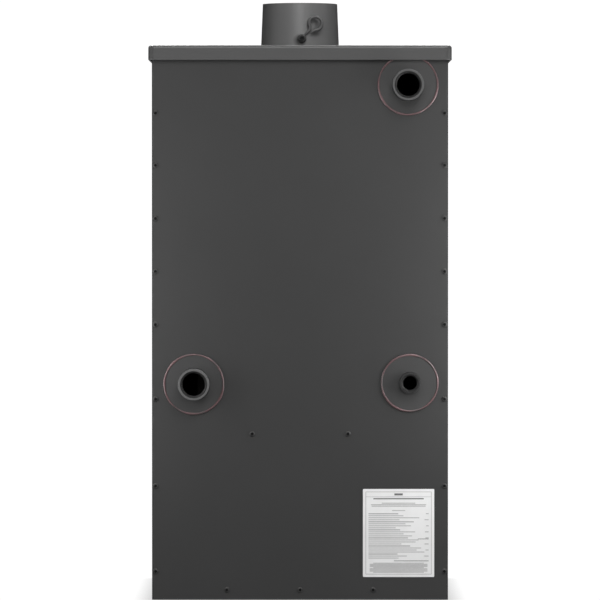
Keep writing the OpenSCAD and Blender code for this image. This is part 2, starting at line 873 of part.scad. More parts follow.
// The ring that closes the jacket in front and the strip that closes it below
module jacket_strips() {
    x = fire_x + inner_t;
    color("saddlebrown") {
        difference() {
            block([-boiler_x, plate_rear_y, boiler_z], [boiler_x, boiler_front, boiler_top]);
            block([-fire_x, plate_rear_y - over, boiler_z - over], [fire_x, boiler_front + over, fire_top]);
            translate([0, 0, gauge_z]) rod_y(stem_r, plate_rear_y - over, boiler_front + over);
        }
        top = boiler_z + strip_t;
        both_sides() block([x, boiler_front, boiler_z], [boiler_x - outer_t, boiler_y - outer_t, top]);
        block([-x, fire_y + inner_t, boiler_z], [x, boiler_y - outer_t, top]);
    }
}

module water_tubes() {
    x = fire_x + inner_t;
    color("saddlebrown") at_tubes() difference() {
        rod_x(tube_r, -x, x);
        rod_x(tube_r - tube_wall, -x - over, x + over);
    }
}

// Flue

module smoke_outlet() {
    color("saddlebrown") translate([0, flue_y, 0]) difference() {
        rod_z(outlet_r, fire_top, boiler_top);
        rod_z(gas_way_r, fire_top - over, boiler_top + over);
    }
}

// The children at each flange stud
module at_studs() {
    for (a = [stud_start_angle : stud_step_angle : 359])
        translate([0, flue_y, 0]) rotate([0, 0, a]) translate([stud_circle_r, 0, 0]) children();
}

module flue_gasket() {
    color("gainsboro") difference() {
        translate([0, flue_y, 0]) rod_z(spigot_flange_r, boiler_top, flange_z);
        translate([0, flue_y, 0]) rod_z(gas_way_r, boiler_top - over, flange_z + over);
        at_studs() rod_z(stud_r, boiler_top - over, flange_z + over);
    }
}

// The damper's own frame: origin on its axis, Y along the spindle towards the rear
module damper_frame() {
    translate([0, flue_y, damper_z]) rotate([0, 0, damper_turn]) children();
}

module flue_spigot() {
    foot_r = spigot_base_r + spigot_slope * (body_h - flange_top);
    color("dimgray") difference() {
        union() {
            translate([0, flue_y, flange_z]) cylinder(r = spigot_flange_r, h = spigot_flange_t);
            translate([0, flue_y, flange_top])
                cylinder(r1 = foot_r, r2 = spigot_top_r, h = spigot_top - flange_top);
        }
        translate([0, flue_y, 0]) rod_z(gas_way_r, flange_z - over, spigot_top);
        translate([0, flue_y, 0]) rod_z(pipe_bore_r, spigot_top - pipe_bore_h, spigot_top + over);
        at_studs() rod_z(stud_r, flange_z - over, flange_top + over);
        damper_frame() rod_y(damper_spindle_r + run_clear, -spigot_base_r - over, spigot_base_r + over);
    }
}

module flue_nuts() {
    color("silver") at_studs() {
        rod_z(stud_r, boiler_top, flange_top + nut_h + stud_proud);
        translate([0, 0, flange_top]) cylinder(r = nut_r, h = nut_h, $fn = hex_fn);
    }
}

module damper_disc() {
    color("dimgray") damper_frame() difference() {
        rod_z(damper_r, damper_flat, damper_flat + damper_t);
        for (s = [-1, 1])
            translate([0, s * rivet_share * damper_r, 0]) rod_z(rivet_r, 0, damper_flat + damper_t + over);
    }
}

module damper_spindle() {
    color("dimgray") damper_frame() {
        difference() {
            rod_y(damper_spindle_r, -spigot_mid_r - damper_front_proud,
                  collar_y + damper_collar_t + damper_rear_proud);
            block([-damper_spindle_r, -damper_r, damper_flat],
                  [damper_spindle_r, damper_r, damper_spindle_r + over]);
            rod_y(spindle_dimple_r, collar_y + damper_collar_t + damper_rear_proud - spindle_dimple_h,
                  collar_y + damper_collar_t + damper_rear_proud + over);
        }
        for (s = [-1, 1])
            translate([0, s * rivet_share * damper_r, 0])
                rod_z(rivet_r, 0, damper_flat + damper_t + rivet_h);
    }
}

module damper_handle() {
    loop = [-damper_arm_l * cos(damper_arm_angle), 0, damper_arm_l * sin(damper_arm_angle)];
    wire_y = collar_y + damper_collar_t / 2;
    color("dimgray") damper_frame() {
        difference() {
            union() {
                rod_y(damper_collar_r, collar_y, collar_y + damper_collar_t);
                translate([0, wire_y, 0]) rotate([0, damper_arm_angle - 90, 0])
                    rod_z(damper_link_r, damper_spindle_r, damper_arm_l - damper_loop_r);
            }
            rod_y(damper_spindle_r, collar_y - over, collar_y + damper_collar_t + over);
        }
        translate([0, wire_y, 0] + loop) rotate([90, 0, 0])
            rotate_extrude() translate([damper_loop_r, 0]) circle(r = damper_wire_r);
    }
}

// Casing

// The top plate's section from its corner's axis outwards, with the lip and the rounded edge
module top_section() {
    difference() {
        union() {
            square([top_corner_r, lip_h - top_edge_r]);
            square([top_corner_r - top_edge_r, lip_h]);
            translate([top_corner_r - top_edge_r, lip_h - top_edge_r]) circle(r = top_edge_r);
        }
        translate([-over, -over]) square([top_corner_r - lip_t + over, lip_h - deck_t + over]);
    }
}

// The stretch of lip along the side at that distance, of that half length
module top_side(half, far) {
    translate([-half, far, lip_z]) rotate([90, 0, 90]) linear_extrude(height = 2 * half) top_section();
}

module top_plate() {
    x = half_w + top_overhang - top_corner_r;
    y = half_d + top_overhang - top_corner_r;
    color("dimgray") difference() {
        union() {
            block([-x, -y, deck_z], [x, y, body_h]);
            for (turn = [0, 180]) rotate([0, 0, turn]) {
                top_side(x, y);
                rotate([0, 0, 90]) top_side(y, x);
                translate([x, y, lip_z]) rotate_extrude(angle = 90) top_section();
                translate([-x, y, lip_z]) rotate([0, 0, 90]) rotate_extrude(angle = 90) top_section();
            }
        }
        translate([0, flue_y, 0]) rod_z(spigot_base_r + spigot_gap, deck_z - over, body_h + over);
    }
}

// A panel screw along Y, its head's seat at y = 0
module screw() {
    rod_y(screw_shank_r, -screw_shank_l, 0);
    difference() {
        rod_y(screw_head_r, 0, screw_head_h);
        translate([0, screw_head_h - screw_recess_h, 0]) rotate([-90, 0, 0])
            cylinder(r = screw_recess_r, h = screw_recess_h + over, $fn = hex_fn);
    }
}

module screw_hole() {
    rod_y(screw_shank_r, -screw_shank_l, over);
}

// The children at each screw of one side column, at the rear panel's face
module side_screws() {
    for (share = side_screw_shares)
        translate([half_w - screw_inset, half_d, share * body_h]) children();
}
module low_screws() {
    for (x = [-low_screw_x, 0, low_screw_x]) translate([x, half_d, low_screw_z]) children();
}
module mid_screws() {
    for (x = [-mid_screw_x, mid_screw_x]) translate([x, half_d, mid_screw_z]) children();
}

module panel_screws() {
    color("dimgray") {
        both_sides() side_screws() screw();
        low_screws() screw();
        mid_screws() screw();
    }
}

// The right side panel; the left one is its mirror image
module side_panel() {
    inner = half_w - flange_w;
    difference() {
        union() {
            block([half_w - sheet_t, plate_rear_y, floor_gap], [half_w, panel_y, deck_z]);
            block([inner, panel_y - sheet_t, floor_gap], [half_w, panel_y, deck_z]);
            block([inner, plate_rear_y, base_top], [half_w, plate_rear_y + sheet_t, deck_z]);
            block([inner, plate_rear_y, deck_z - sheet_t], [half_w, panel_y, deck_z]);
        }
        side_screws() screw_hole();
    }
}

module side_panel_right() {
    color("dimgray") side_panel();
}

module side_panel_left() {
    color("dimgray") mirror([1, 0, 0]) side_panel();
}

module rear_panel() {
    x = half_w - rear_inset;
    color("dimgray") difference() {
        block([-x, panel_y, floor_gap], [x, half_d, deck_z - sheet_t]);
        at_supply() rod_y(socket_r + panel_hole_gap, panel_y - over, half_d + over);
        at_return() rod_y(socket_r + panel_hole_gap, panel_y - over, half_d + over);
        at_drain() rod_y(drain_r + panel_hole_gap, panel_y - over, half_d + over);
        both_sides() side_screws() screw_hole();
        low_screws() screw_hole();
        mid_screws() screw_hole();
    }
}

// The children at each air window of the front plate
module at_windows() {
    for (i = [0 : window_count - 1])
        translate([(i - (window_count - 1) / 2) * window_pitch, 0, slide_z]) children();
}

module window_cut(from, to) {
    block([-window_w / 2, from - over, -window_h / 2], [window_w / 2, to + over, window_h / 2]);
}

module front_plate() {
    wood_x = wood_w / 2 + open_gap;
    ash_x = ash_w / 2 + open_gap;
    y0 = front_y - over;
    y1 = plate_rear_y + over;
    color("dimgray") difference() {
        block([-half_w, front_y, floor_gap], [half_w, plate_rear_y, deck_z - sheet_t]);
        block([-wood_x, y0, wood_z - sill_drop], [wood_x, y1, wood_z + wood_h + open_gap]);
        block([-ash_x, y0, ash_open_z], [ash_x, y1, ash_open_z + ash_open_h]);
        block([-opening_w / 2, y0, door_z - opening_h / 2], [opening_w / 2, y1, door_z + opening_h / 2]);
        at_windows() window_cut(front_y, plate_rear_y);
        translate([0, 0, gauge_z]) rod_y(stem_r, y0, y1);
    }
}

// Rear connections

// A socket through the boiler's rear plate, with a bore and a chamfered mouth
module socket(r, bore_r, proud) {
    from = boiler_y - outer_t;
    mouth = half_d + proud;
    color("dimgray") difference() {
        rod_y(r, from, mouth);
        rod_y(bore_r, from - over, mouth + over);
        translate([0, mouth, 0]) rotate([90, 0, 0])
            cylinder(r1 = bore_r + socket_chamfer, r2 = bore_r, h = socket_chamfer);
    }
}

module supply_socket() {
    at_supply() socket(socket_r, socket_bore_r, socket_proud);
}

module return_socket() {
    at_return() socket(socket_r, socket_bore_r, socket_proud);
}

module drain_socket() {
    at_drain() socket(drain_r, drain_bore_r, drain_proud);
}

// A flat ring on the rear panel
module flat_ring(outer, inner, t) {
    difference() {
        rod_y(outer, half_d, half_d + t);
        rod_y(inner, half_d - over, half_d + t + over);
    }
}

module pipe_rosettes() {
    color("dimgray") {
        at_supply() flat_ring(rosette_r, socket_r + rosette_gap, rosette_t);
        at_return() flat_ring(rosette_r, socket_r + rosette_gap, rosette_t);
        at_drain() flat_ring(drain_rosette_r, drain_r + rosette_gap, rosette_t);
    }
}

module rosette_seals() {
    color("indianred") {
        at_supply() flat_ring(rosette_r + seal_w, rosette_r, seal_t);
        at_return() flat_ring(rosette_r + seal_w, rosette_r, seal_t);
        at_drain() flat_ring(drain_rosette_r + seal_w, drain_rosette_r, seal_t);
    }
}

module rating_plate() {
    color("gainsboro") translate([-rating_x, 0, rating_z])
        panel(rating_w, rating_h, rating_corner_r, half_d, half_d + rating_t);
}

// Firebox

module grate_frame() {
    x = grate_w / 2 + grate_gap;
    y = grate_d / 2 + grate_gap;
    color("dimgray") difference() {
        block([-fire_x, boiler_front, boiler_z], [fire_x, fire_y, frame_top]);
        translate([0, -grate_forward, 0]) {
            block([-x, -y, grate_z], [x, y, frame_top + over]);
            block([-x + grate_ledge, -y + grate_ledge, boiler_z - over],
                  [x - grate_ledge, y - grate_ledge, frame_top]);
        }
    }
}

module grate() {
    color("darkslategray") translate([0, -grate_forward, grate_z]) difference() {
        block([-grate_w / 2, -grate_d / 2, 0], [grate_w / 2, grate_d / 2, grate_t]);
        for (i = [0 : slot_count - 1])
            translate([(i - (slot_count - 1) / 2) * slot_pitch, 0, 0])
                block([-slot_w / 2, -grate_d / 2 + slot_margin, -over],
                      [slot_w / 2, grate_d / 2 - slot_margin, grate_t + over]);
    }
}

module firebricks() {
    x = fire_x - brick_gap;
    y = fire_y - brick_gap;
    color("tan") {
        both_sides() block([x - brick_t, brick_y0, frame_top], [x, y, frame_top + brick_h]);
        block([-x + brick_t + brick_gap, y - brick_t, frame_top],
              [x - brick_t - brick_gap, y, frame_top + brick_h]);
    }
}

module log_retainer() {
    x = fire_x - brick_gap;
    z = frame_top + retainer_h / 2;
    color("darkslategray") difference() {
        block([-x, retainer_y, frame_top], [x, retainer_y + retainer_t, frame_top + retainer_h]);
        for (i = [0 : retainer_slots - 1])
            translate([(i - (retainer_slots - 1) / 2) * retainer_pitch, 0, z])
            block([-retainer_slot_w / 2, retainer_y - over, -retainer_slot_h / 2],
                  [retainer_slot_w / 2, retainer_y + retainer_t + over, retainer_slot_h / 2]);
    }
}

module baffle_plate() {
    x = fire_x - bracket_t - brick_gap;
    color("tan") block([-x, plate_rear_y + baffle_front, baffle_z],
                       [x, fire_y - brick_gap, baffle_z + baffle_t]);
}

module baffle_brackets() {
    y = plate_rear_y + baffle_front;
    color("dimgray") both_sides() {
        block([fire_x - bracket_w, y, baffle_z - bracket_t], [fire_x, fire_y, baffle_z]);
        block([fire_x - bracket_t, y, baffle_z - bracket_t],
              [fire_x, fire_y, baffle_z - bracket_t + bracket_h]);
    }
}

// Fire door

// The children at each hinge, the origin on its axis at the door knuckle's foot
module at_hinges() {
    for (s = [-1, 1]) translate([hinge_x, hinge_y, door_z + s * hinge_spread]) children();
}

module hinge_brackets() {
    top = -hinge_gap;
    low = top - bracket_knuckle_h;
    color("dimgray") at_hinges() difference() {
        union() {
            rod_z(knuckle_r, low, top);
            block([-hinge_arm_w / 2, 0, low], [hinge_arm_w / 2, hinge_fore, top]);
        }
        rod_z(pin_r, low - over, top + over);
    }
}

module hinge_pins() {
    color("silver") at_hinges() rod_z(pin_r, -hinge_gap - bracket_knuckle_h, knuckle_h - pin_short);
}

// The closed loop of the rope seal's centre line, as a ring between two sizes
module rope_ring(from, to) {
    translate([0, 0, door_z])
        square_ring(2 * rope_x + rope_w, 2 * rope_z + rope_w, rope_w, from, to);
}

module door_frame() {
    inner_x = rope_x - rope_w / 2 - rope_inset_z / 2;
    inner_z = rope_z - rope_w / 2 - rope_inset_z / 2;
    cut_w = glass_w + 2 * glass_gap;
    cut_h = glass_h + 2 * glass_gap;
    color("dimgray") difference() {
        union() {
            difference() {
                translate([0, 0, door_z]) {
                    panel(door_w, door_h, door_corner_r, door_front, door_rear);
                    panel(pane_w + 2 * bead_w, pane_h + 2 * bead_w, window_corner_r + bead_w,
                          door_front - bead_h, door_front + bead_h);
                }
                translate([0, 0, door_z])
                    block([-inner_x, recess_y, -inner_z], [inner_x, door_rear + over, inner_z]);
            }
            translate([spindle_x, 0, spindle_z]) rod_y(boss_r, recess_y, door_rear);
        }
        translate([0, 0, door_z]) {
            panel(pane_w, pane_h, window_corner_r, door_front - bead_h - over, door_rear);
            block([-cut_w / 2, gasket_front, -cut_h / 2], [cut_w / 2, door_rear, cut_h / 2]);
        }
        rope_ring(door_rear - rope_groove, door_rear + over);
        translate([spindle_x, 0, spindle_z])
            rod_y(spindle_r + run_clear, door_front - over, door_rear + over);
        at_clips() rod_y(clip_screw_r, recess_y - glass_t, recess_y + over);
    }
    color("dimgray") at_hinges() difference() {
        union() {
            rod_z(knuckle_r, 0, knuckle_h);
            block([0, -knuckle_r / 2, 0], [hinge_out + over, knuckle_r / 2, knuckle_h]);
        }
        rod_z(pin_r + run_clear, -over, knuckle_h + over);
    }
}

module door_glass() {
    color("lightsteelblue", 0.4) translate([0, 0, door_z])
        block([-glass_w / 2, glass_front, -glass_h / 2], [glass_w / 2, recess_y, glass_h / 2]);
}

module glass_gasket() {
    color("gainsboro") translate([0, 0, door_z])
        square_ring(glass_w, glass_h, glass_gasket_w, gasket_front, glass_front);
}

// The children at each clip's screw, on the plane that the clips lie on
module at_clips() {
    both_sides() for (share = clip_shares)
        translate([glass_w / 2 + glass_gap + clip_w / 2, 0, door_z + share * pane_h / 2]) children();
}

module glass_clips() {
    color("silver") at_clips() difference() {
        block([clip_w / 2 - clip_l, recess_y, -clip_w / 2], [clip_w / 2, recess_y + clip_t, clip_w / 2]);
        rod_y(clip_screw_r, recess_y - over, recess_y + clip_t + over);
    }
}

module clip_screws() {
    color("silver") at_clips() {
        rod_y(clip_screw_r, recess_y - glass_t, recess_y + clip_t);
        rod_y(2 * clip_screw_r, recess_y + clip_t, recess_y + 2 * clip_t);
    }
}

module door_rope() {
    color("dimgray") rope_ring(door_rear - rope_groove, front_y - rope_gap);
}

module handle_spindle() {
    color("silver") translate([spindle_x, 0, spindle_z]) {
        rod_y(spindle_r, grip_y - hub_l / 2, cam_y + cam_t);
        block([-cam_w / 2, cam_y, 0], [cam_w / 2, cam_y + cam_t, cam_l]);
    }
}

module handle_lever() {
    color("dimgray") translate([spindle_x, grip_y, spindle_z]) difference() {
        union() {
            rod_y(hub_r, -hub_l / 2, hub_l / 2);
            rod_x(lever_r, 0, grip_start + grip_l);
            translate([grip_start + grip_l, 0, 0]) rod_x(grip_r - lever_cap_l / 2, 0, lever_cap_l);
        }
        rod_y(spindle_r, -hub_l / 2 - over, hub_l / 2 + over);
    }
}

module handle_grip() {
    color("sienna") translate([spindle_x, grip_y, spindle_z]) difference() {
        rod_x(grip_r, grip_start, grip_start + grip_l);
        rod_x(lever_r, grip_start - over, grip_start + grip_l + over);
    }
}

// Ash drawer

// The children at each air hole, about the drawer front's middle
module at_air_holes(turn) {
    for (i = [0 : air_hole_count - 1])
        rotate([0, turn + i * 360 / air_hole_count, 0]) translate([air_circle_r, 0, 0]) children();
}

module ash_drawer_front() {
    w = ash_w + 2 * open_gap + 2 * ash_lap_x;
    h = ash_open_h + 2 * ash_lap_z;
    color("dimgray") translate([0, 0, ash_mid_z]) difference() {
        panel(w, h, drawer_corner_r, drawer_front, drawer_rear);
        rod_y(air_bolt_r + run_clear, drawer_front - over, drawer_rear + over);
        at_air_holes(0) rod_y(air_hole_r, drawer_front - over, drawer_rear + over);
    }
}

module ash_pan() {
    x = ash_w / 2;
    rear = plate_rear_y + ash_l;
    wall_y = drawer_rear + ash_air_l;
    color("lightslategray") {
        block([-x, drawer_rear, ash_z], [x, rear, ash_z + ash_wall]);
        both_sides() block([x - ash_wall, wall_y, ash_z], [x, rear, ash_z + ash_h]);
        block([-x, wall_y, ash_z], [x, wall_y + ash_wall, ash_z + ash_h]);
        block([-x, rear - ash_wall, ash_z], [x, rear, ash_z + ash_h]);
    }
}

module air_disc() {
    color("dimgray") translate([0, 0, ash_mid_z]) difference() {
        rod_y(air_disc_r, air_y - air_disc_t, air_y);
        rod_y(air_bolt_r, air_y - air_disc_t - over, air_y + over);
        at_air_holes(180 / air_hole_count) rod_y(air_hole_r, air_y - air_disc_t - over, air_y + over);
    }
}

// A knob whose outer end tapers a little, its foot at y = 0 and its end towards -Y
module knob(r, l) {
    rod_y(r, -l + knob_edge, 0);
    translate([0, -l + knob_edge, 0]) rotate([90, 0, 0])
        cylinder(r1 = r, r2 = r - knob_edge, h = knob_edge);
}

module air_knob() {
    color("black") translate([0, 0, ash_mid_z]) {
        translate([0, air_y - air_disc_t, 0]) knob(air_knob_r, air_knob_l);
        rod_y(air_bolt_r, air_y - air_disc_t, drawer_rear + air_disc_gap);
        rod_y(air_collar_r, drawer_rear + air_disc_gap, drawer_rear + air_disc_gap + air_collar_t);
    }
}

// Wood drawer

module wood_drawer_front() {
    color("dimgray") translate([0, 0, wood_mid_z])
        panel(wood_w + 2 * wood_lap_x, wood_h + 2 * wood_lap_z, drawer_corner_r, drawer_front, drawer_rear);
}

module wood_box() {
    x = wood_w / 2;
    rear = plate_rear_y + wood_l;
    color("lightslategray") difference() {
        block([-x, drawer_rear, wood_z], [x, rear, wood_z + wood_h]);
        block([-x + wood_wall, drawer_rear + wood_wall, wood_z + wood_wall],
              [x - wood_wall, rear - wood_wall, wood_z + wood_h + over]);
    }
}

module wood_handle() {
    bar_y = drawer_front - wood_handle_out;
    half = wood_handle_w / 2;
    color("silver") translate([0, 0, wood_handle_z]) {
        for (s = [-1, 1]) translate([s * half, 0, 0]) {
            rod_y(wood_handle_r, bar_y, drawer_front);
            translate([0, bar_y, 0]) sphere(r = wood_handle_r);
        }
        translate([0, bar_y, 0]) rod_x(wood_handle_r, -half, half);
    }
}

// Air slide

module air_slide() {
    color("dimgray") difference() {
        block([-slide_w / 2, slide_front, slide_z - slide_h / 2],
              [slide_w / 2, slide_rear, slide_z + slide_h / 2]);
        at_windows() translate([-slide_travel, 0, 0]) window_cut(slide_front, slide_rear);
    }
}

module air_slide_knob() {
    color("black") translate([slide_knob_x, slide_front, slide_z]) {
        rod_y(slide_neck_r, -slide_neck_l, 0);
        translate([0, -slide_neck_l, 0]) knob(slide_knob_r, slide_knob_l);
    }
}

// The guide above the slide; the lower one is its mirror image
module slide_guide() {
    x = slide_w / 2 + guide_past;
    low = slide_h / 2 + slide_gap;
    lip = slide_front - slide_gap;
    block([-x, lip - guide_lip_t, low], [x, front_y, low + guide_w]);
    block([-x, lip - guide_lip_t, slide_h / 2 - guide_lip], [x, lip, low + guide_w]);
}

module slide_guides() {
    color("dimgray") translate([0, 0, slide_z]) {
        slide_guide();
        mirror([0, 0, 1]) slide_guide();
    }
}

// The sheet behind the air windows that leads the air down over the glass
module air_deflector() {
    x = fire_x - open_gap;
    y = plate_rear_y + channel_d;
    top = slide_z + channel_up;
    color("dimgray") {
        block([-x, y, slide_z - channel_down], [x, y + channel_t, top + channel_t]);
        block([-x, plate_rear_y, top], [x, y + channel_t, top + channel_t]);
    }
}

// Thermometer

module thermometer_case() {
    color("silver") translate([0, 0, gauge_z]) difference() {
        union() {
            rod_y(gauge_r, gauge_front, front_y);
            rod_y(stem_r, front_y, plate_rear_y + stem_l);
        }
        rod_y(cup_r, gauge_front - over, dial_rear);
        rod_y(arbor_r + arbor_clear, dial_rear - over, dial_rear + arbor_seat);
    }
}

module thermometer_dial() {
    color("white") translate([0, 0, gauge_z]) difference() {
        rod_y(cup_r, dial_front, dial_rear);
        rod_y(arbor_r + arbor_clear, dial_front - over, dial_rear + over);
    }
}

module thermometer_lens() {
    color("lightsteelblue", 0.4) translate([0, 0, gauge_z])
        rod_y(cup_r, gauge_front + lens_sink, gauge_front + lens_sink + lens_t);
}

// The needle points to the stove's left at rest
module thermometer_needle() {
    y = dial_front - needle_gap;
    color("black") translate([0, 0, gauge_z]) {
        block([-needle_l, y - needle_t, -needle_w / 2], [needle_tail, y, needle_w / 2]);
        rod_y(needle_hub_r, y - needle_t, y);
        rod_y(arbor_r, y, dial_rear + arbor_seat / 2);
    }
}

floor_rails();
base_plate();
lower_body();
ash_shelf();
boiler_wrapper();
boiler_rear_plate();
firebox_shell();
jacket_strips();
water_tubes();
smoke_outlet();
flue_gasket();
flue_spigot();
flue_nuts();
top_plate();
side_panel_left();
side_panel_right();
rear_panel();
front_plate();
supply_socket();
return_socket();
drain_socket();
pipe_rosettes();
rosette_seals();
rating_plate();
panel_screws();
grate_frame();
grate();
firebricks();
log_retainer();
baffle_plate();
baffle_brackets();
hinge_brackets();
hinge_pins();
slide_guides();
air_deflector();
thermometer_case();
thermometer_dial();
thermometer_lens();
thermometer_needle();
door_frame();
door_glass();
glass_gasket();
glass_clips();
clip_screws();
door_rope();
handle_spindle();
handle_lever();
handle_grip();
ash_drawer_front();
ash_pan();
air_disc();
air_knob();
wood_drawer_front();
wood_box();
wood_handle();
damper_disc();
damper_spindle();
damper_handle();
air_slide();
air_slide_knob();
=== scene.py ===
"""Looks of a wood-fired boiler stove, seen square on from its rear.

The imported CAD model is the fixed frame. This script gives every part its finish, adds the fine
forms that the solids leave plain, and sets a pale studio round the stove. Lengths are in metres,
+Z is up, and +Y points out of the rear, where the pipe sockets are.
"""
import math
import random

import bpy
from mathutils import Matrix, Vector


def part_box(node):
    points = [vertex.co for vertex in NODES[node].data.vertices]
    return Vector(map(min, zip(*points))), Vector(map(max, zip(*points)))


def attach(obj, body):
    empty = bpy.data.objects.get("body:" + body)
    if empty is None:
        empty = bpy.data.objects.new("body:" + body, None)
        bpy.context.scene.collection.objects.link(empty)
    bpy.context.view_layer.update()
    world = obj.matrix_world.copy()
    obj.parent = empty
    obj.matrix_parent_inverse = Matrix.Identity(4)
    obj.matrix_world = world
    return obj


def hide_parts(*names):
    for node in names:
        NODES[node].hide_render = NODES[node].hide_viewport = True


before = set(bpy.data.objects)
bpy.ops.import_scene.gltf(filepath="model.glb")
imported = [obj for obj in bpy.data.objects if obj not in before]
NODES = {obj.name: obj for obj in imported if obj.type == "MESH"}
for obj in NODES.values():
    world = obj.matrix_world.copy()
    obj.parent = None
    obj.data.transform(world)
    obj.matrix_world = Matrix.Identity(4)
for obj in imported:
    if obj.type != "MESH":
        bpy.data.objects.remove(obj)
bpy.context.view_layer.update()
scene = bpy.context.scene
dice = random.Random(7)

# Faces, axes and places on the stove
REAR_FACE = 0.260
CASING_H = 0.926
FLUE_Y = 0.115
DAMPER_Z = 0.940
# Height of the middle of the painted shade and soot round the damper's spindle, a little below its
# axis
SPINDLE_SHADE_Z = 0.9365
SCREW_COLUMN_X = 0.241
SCREW_COLUMN_SHARES = (0.0524, 0.2063, 0.3629, 0.4973, 0.5929, 0.6885, 0.784, 0.878)
SCREW_MIDDLE = ((-0.080, 0.278), (0.080, 0.278))
SCREW_FOOT = ((-0.122, 0.0175), (0.0, 0.0175), (0.122, 0.0175))
FORWARD = (0.0, -1.0, 0.0)
REARWARD = (0.0, 1.0, 0.0)
UPWARD = (0.0, 0.0, 1.0)
FULL_TURN = 2 * math.pi


def box_of(node):
    """A CAD part's lowest corner, highest corner and middle."""
    low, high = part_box(node)
    return low, high, (low + high) / 2


# Camera

def place_camera(distance=8.495, height=0.65, aim=0.5015, focal=305.7):
    """An almost level view from far away, square on to the rear; focal is in millimetres."""
    lens = bpy.data.cameras.new("rear_view_lens")
    lens.lens = focal
    lens.sensor_width = 36.0
    lens.clip_end = 80.0
    eye = bpy.data.objects.new("rear_view", lens)
    eye.location = (0.0, REAR_FACE + distance, height)
    eye.rotation_euler = (math.pi / 2 - math.atan2(height - aim, distance), 0.0, math.pi)
    scene.collection.objects.link(eye)
    scene.camera = eye


place_camera()


# Mesh shapes

class Shape:
    """The points and faces of one piece, gathered part by part."""

    def __init__(self):
        self.points = []
        self.faces = []

    def add(self, points, faces):
        """Takes in points, and faces that count from the first of them."""
        first = len(self.points)
        self.points.extend(Vector(p) for p in points)
        self.faces.extend(tuple(first + i for i in face) for face in faces)

    def loft(self, rings, closed=False, caps=True):
        """Quads between rings of equal count; closed joins the last ring to the first."""
        count = len(rings[0])
        points = [p for ring in rings for p in ring]
        spans = len(rings) if closed else len(rings) - 1
        faces = []
        for i in range(spans):
            low = i * count
            high = (i + 1) % len(rings) * count
            for k in range(count):
                n = (k + 1) % count
                faces.append((low + k, low + n, high + n, high + k))
        if caps and not closed:
            last = (len(rings) - 1) * count
            faces.append(tuple(reversed(range(count))))
            faces.append(tuple(range(last, last + count)))
        self.add(points, faces)

    def turned(self, profile, centre, axis, steps, lobes=0, lobe_share=0.0, caps=True):
        """A lathe form: profile holds (radius, distance along axis, whether lobed)."""
        along = Vector(axis).normalized()
        side = along.orthogonal().normalized()
        up = along.cross(side)
        centre = Vector(centre)
        rings = []
        for radius, distance, *lobed in profile:
            ring = []
            for k in range(steps):
                angle = FULL_TURN * k / steps
                wave = 1 + lobe_share * math.cos(lobes * angle) if lobed else 1
                ring.append(centre + along * distance
                            + (side * math.cos(angle) + up * math.sin(angle)) * radius * wave)
            rings.append(ring)
        self.loft(rings, caps=caps)

    def swept(self, path, radii, sides):
        """A round section carried along a path without twist, from a radius for each point."""
        path = [Vector(p) for p in path]
        normal = None
        rings = []
        for i, point in enumerate(path):
            heading = (path[min(i + 1, len(path) - 1)] - path[max(i - 1, 0)]).normalized()
            if normal is None:
                normal = heading.orthogonal().normalized()
            normal = (normal - heading * normal.dot(heading)).normalized()
            across = heading.cross(normal)
            rings.append([point + (normal * math.cos(FULL_TURN * k / sides)
                                   + across * math.sin(FULL_TURN * k / sides)) * radii[i]
                          for k in range(sides)])
        self.loft(rings)

    def slab(self, low, high):
        """A flat bar between two corners."""
        (x0, y0, z0), (x1, y1, z1) = low, high
        points = [(x, y, z) for z in (z0, z1) for y in (y0, y1) for x in (x0, x1)]
        faces = [(0, 2, 3, 1), (4, 5, 7, 6), (0, 1, 5, 4), (2, 6, 7, 3), (0, 4, 6, 2), (1, 3, 7, 5)]
        self.add(points, faces)


def make_piece(name, shape, finish, body, stands_for=(), corners=None, smooth=True):
    """One object from a shape, riding on a body; its corners above the given degrees stay crisp."""
    mesh = bpy.data.meshes.new(name)
    mesh.from_pydata([tuple(p) for p in shape.points], [], shape.faces)
    mesh.materials.append(FINISHES[finish])
    mesh.polygons.foreach_set("use_smooth", [smooth] * len(mesh.polygons))
    if corners:
        mesh.set_sharp_from_angle(angle=math.radians(corners))
    piece = bpy.data.objects.new(name, mesh)
    scene.collection.objects.link(piece)
    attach(piece, body)
    if stands_for:
        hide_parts(*stands_for)


def round_edges(piece, width):
    """Rounds the outer corners of a CAD part without touching its mesh."""
    weld = piece.modifiers.new("joined_corners", "WELD")
    weld.merge_threshold = 0.00001
    plain = piece.modifiers.new("plain_faces", "DECIMATE")
    plain.decimate_type = "DISSOLVE"
    plain.angle_limit = math.radians(0.4)
    bevel = piece.modifiers.new("rounded_edges", "BEVEL")
    bevel.width = width
    bevel.segments = 2
    bevel.limit_method = "ANGLE"
    bevel.angle_limit = math.radians(38.0)
    flat = piece.modifiers.new("flat_faces", "WEIGHTED_NORMAL")
    flat.keep_sharp = True
    flat.weight = 80


# Shader wiring

def paint(red, green, blue):
    """A linear colour from 8-bit display levels."""
    def linear(level):
        share = level / 255
        return share / 12.92 if share <= 0.04045 else ((share + 0.055) / 1.055) ** 2.4
    return (linear(red), linear(green), linear(blue), 1.0)


def grey(level):
    """A neutral linear colour from one 8-bit display level."""
    return paint(level, level, level)


WHITE = grey(255)

# The last two values of a spread that falls instead of rising
FADE = (1.0, 0.0)


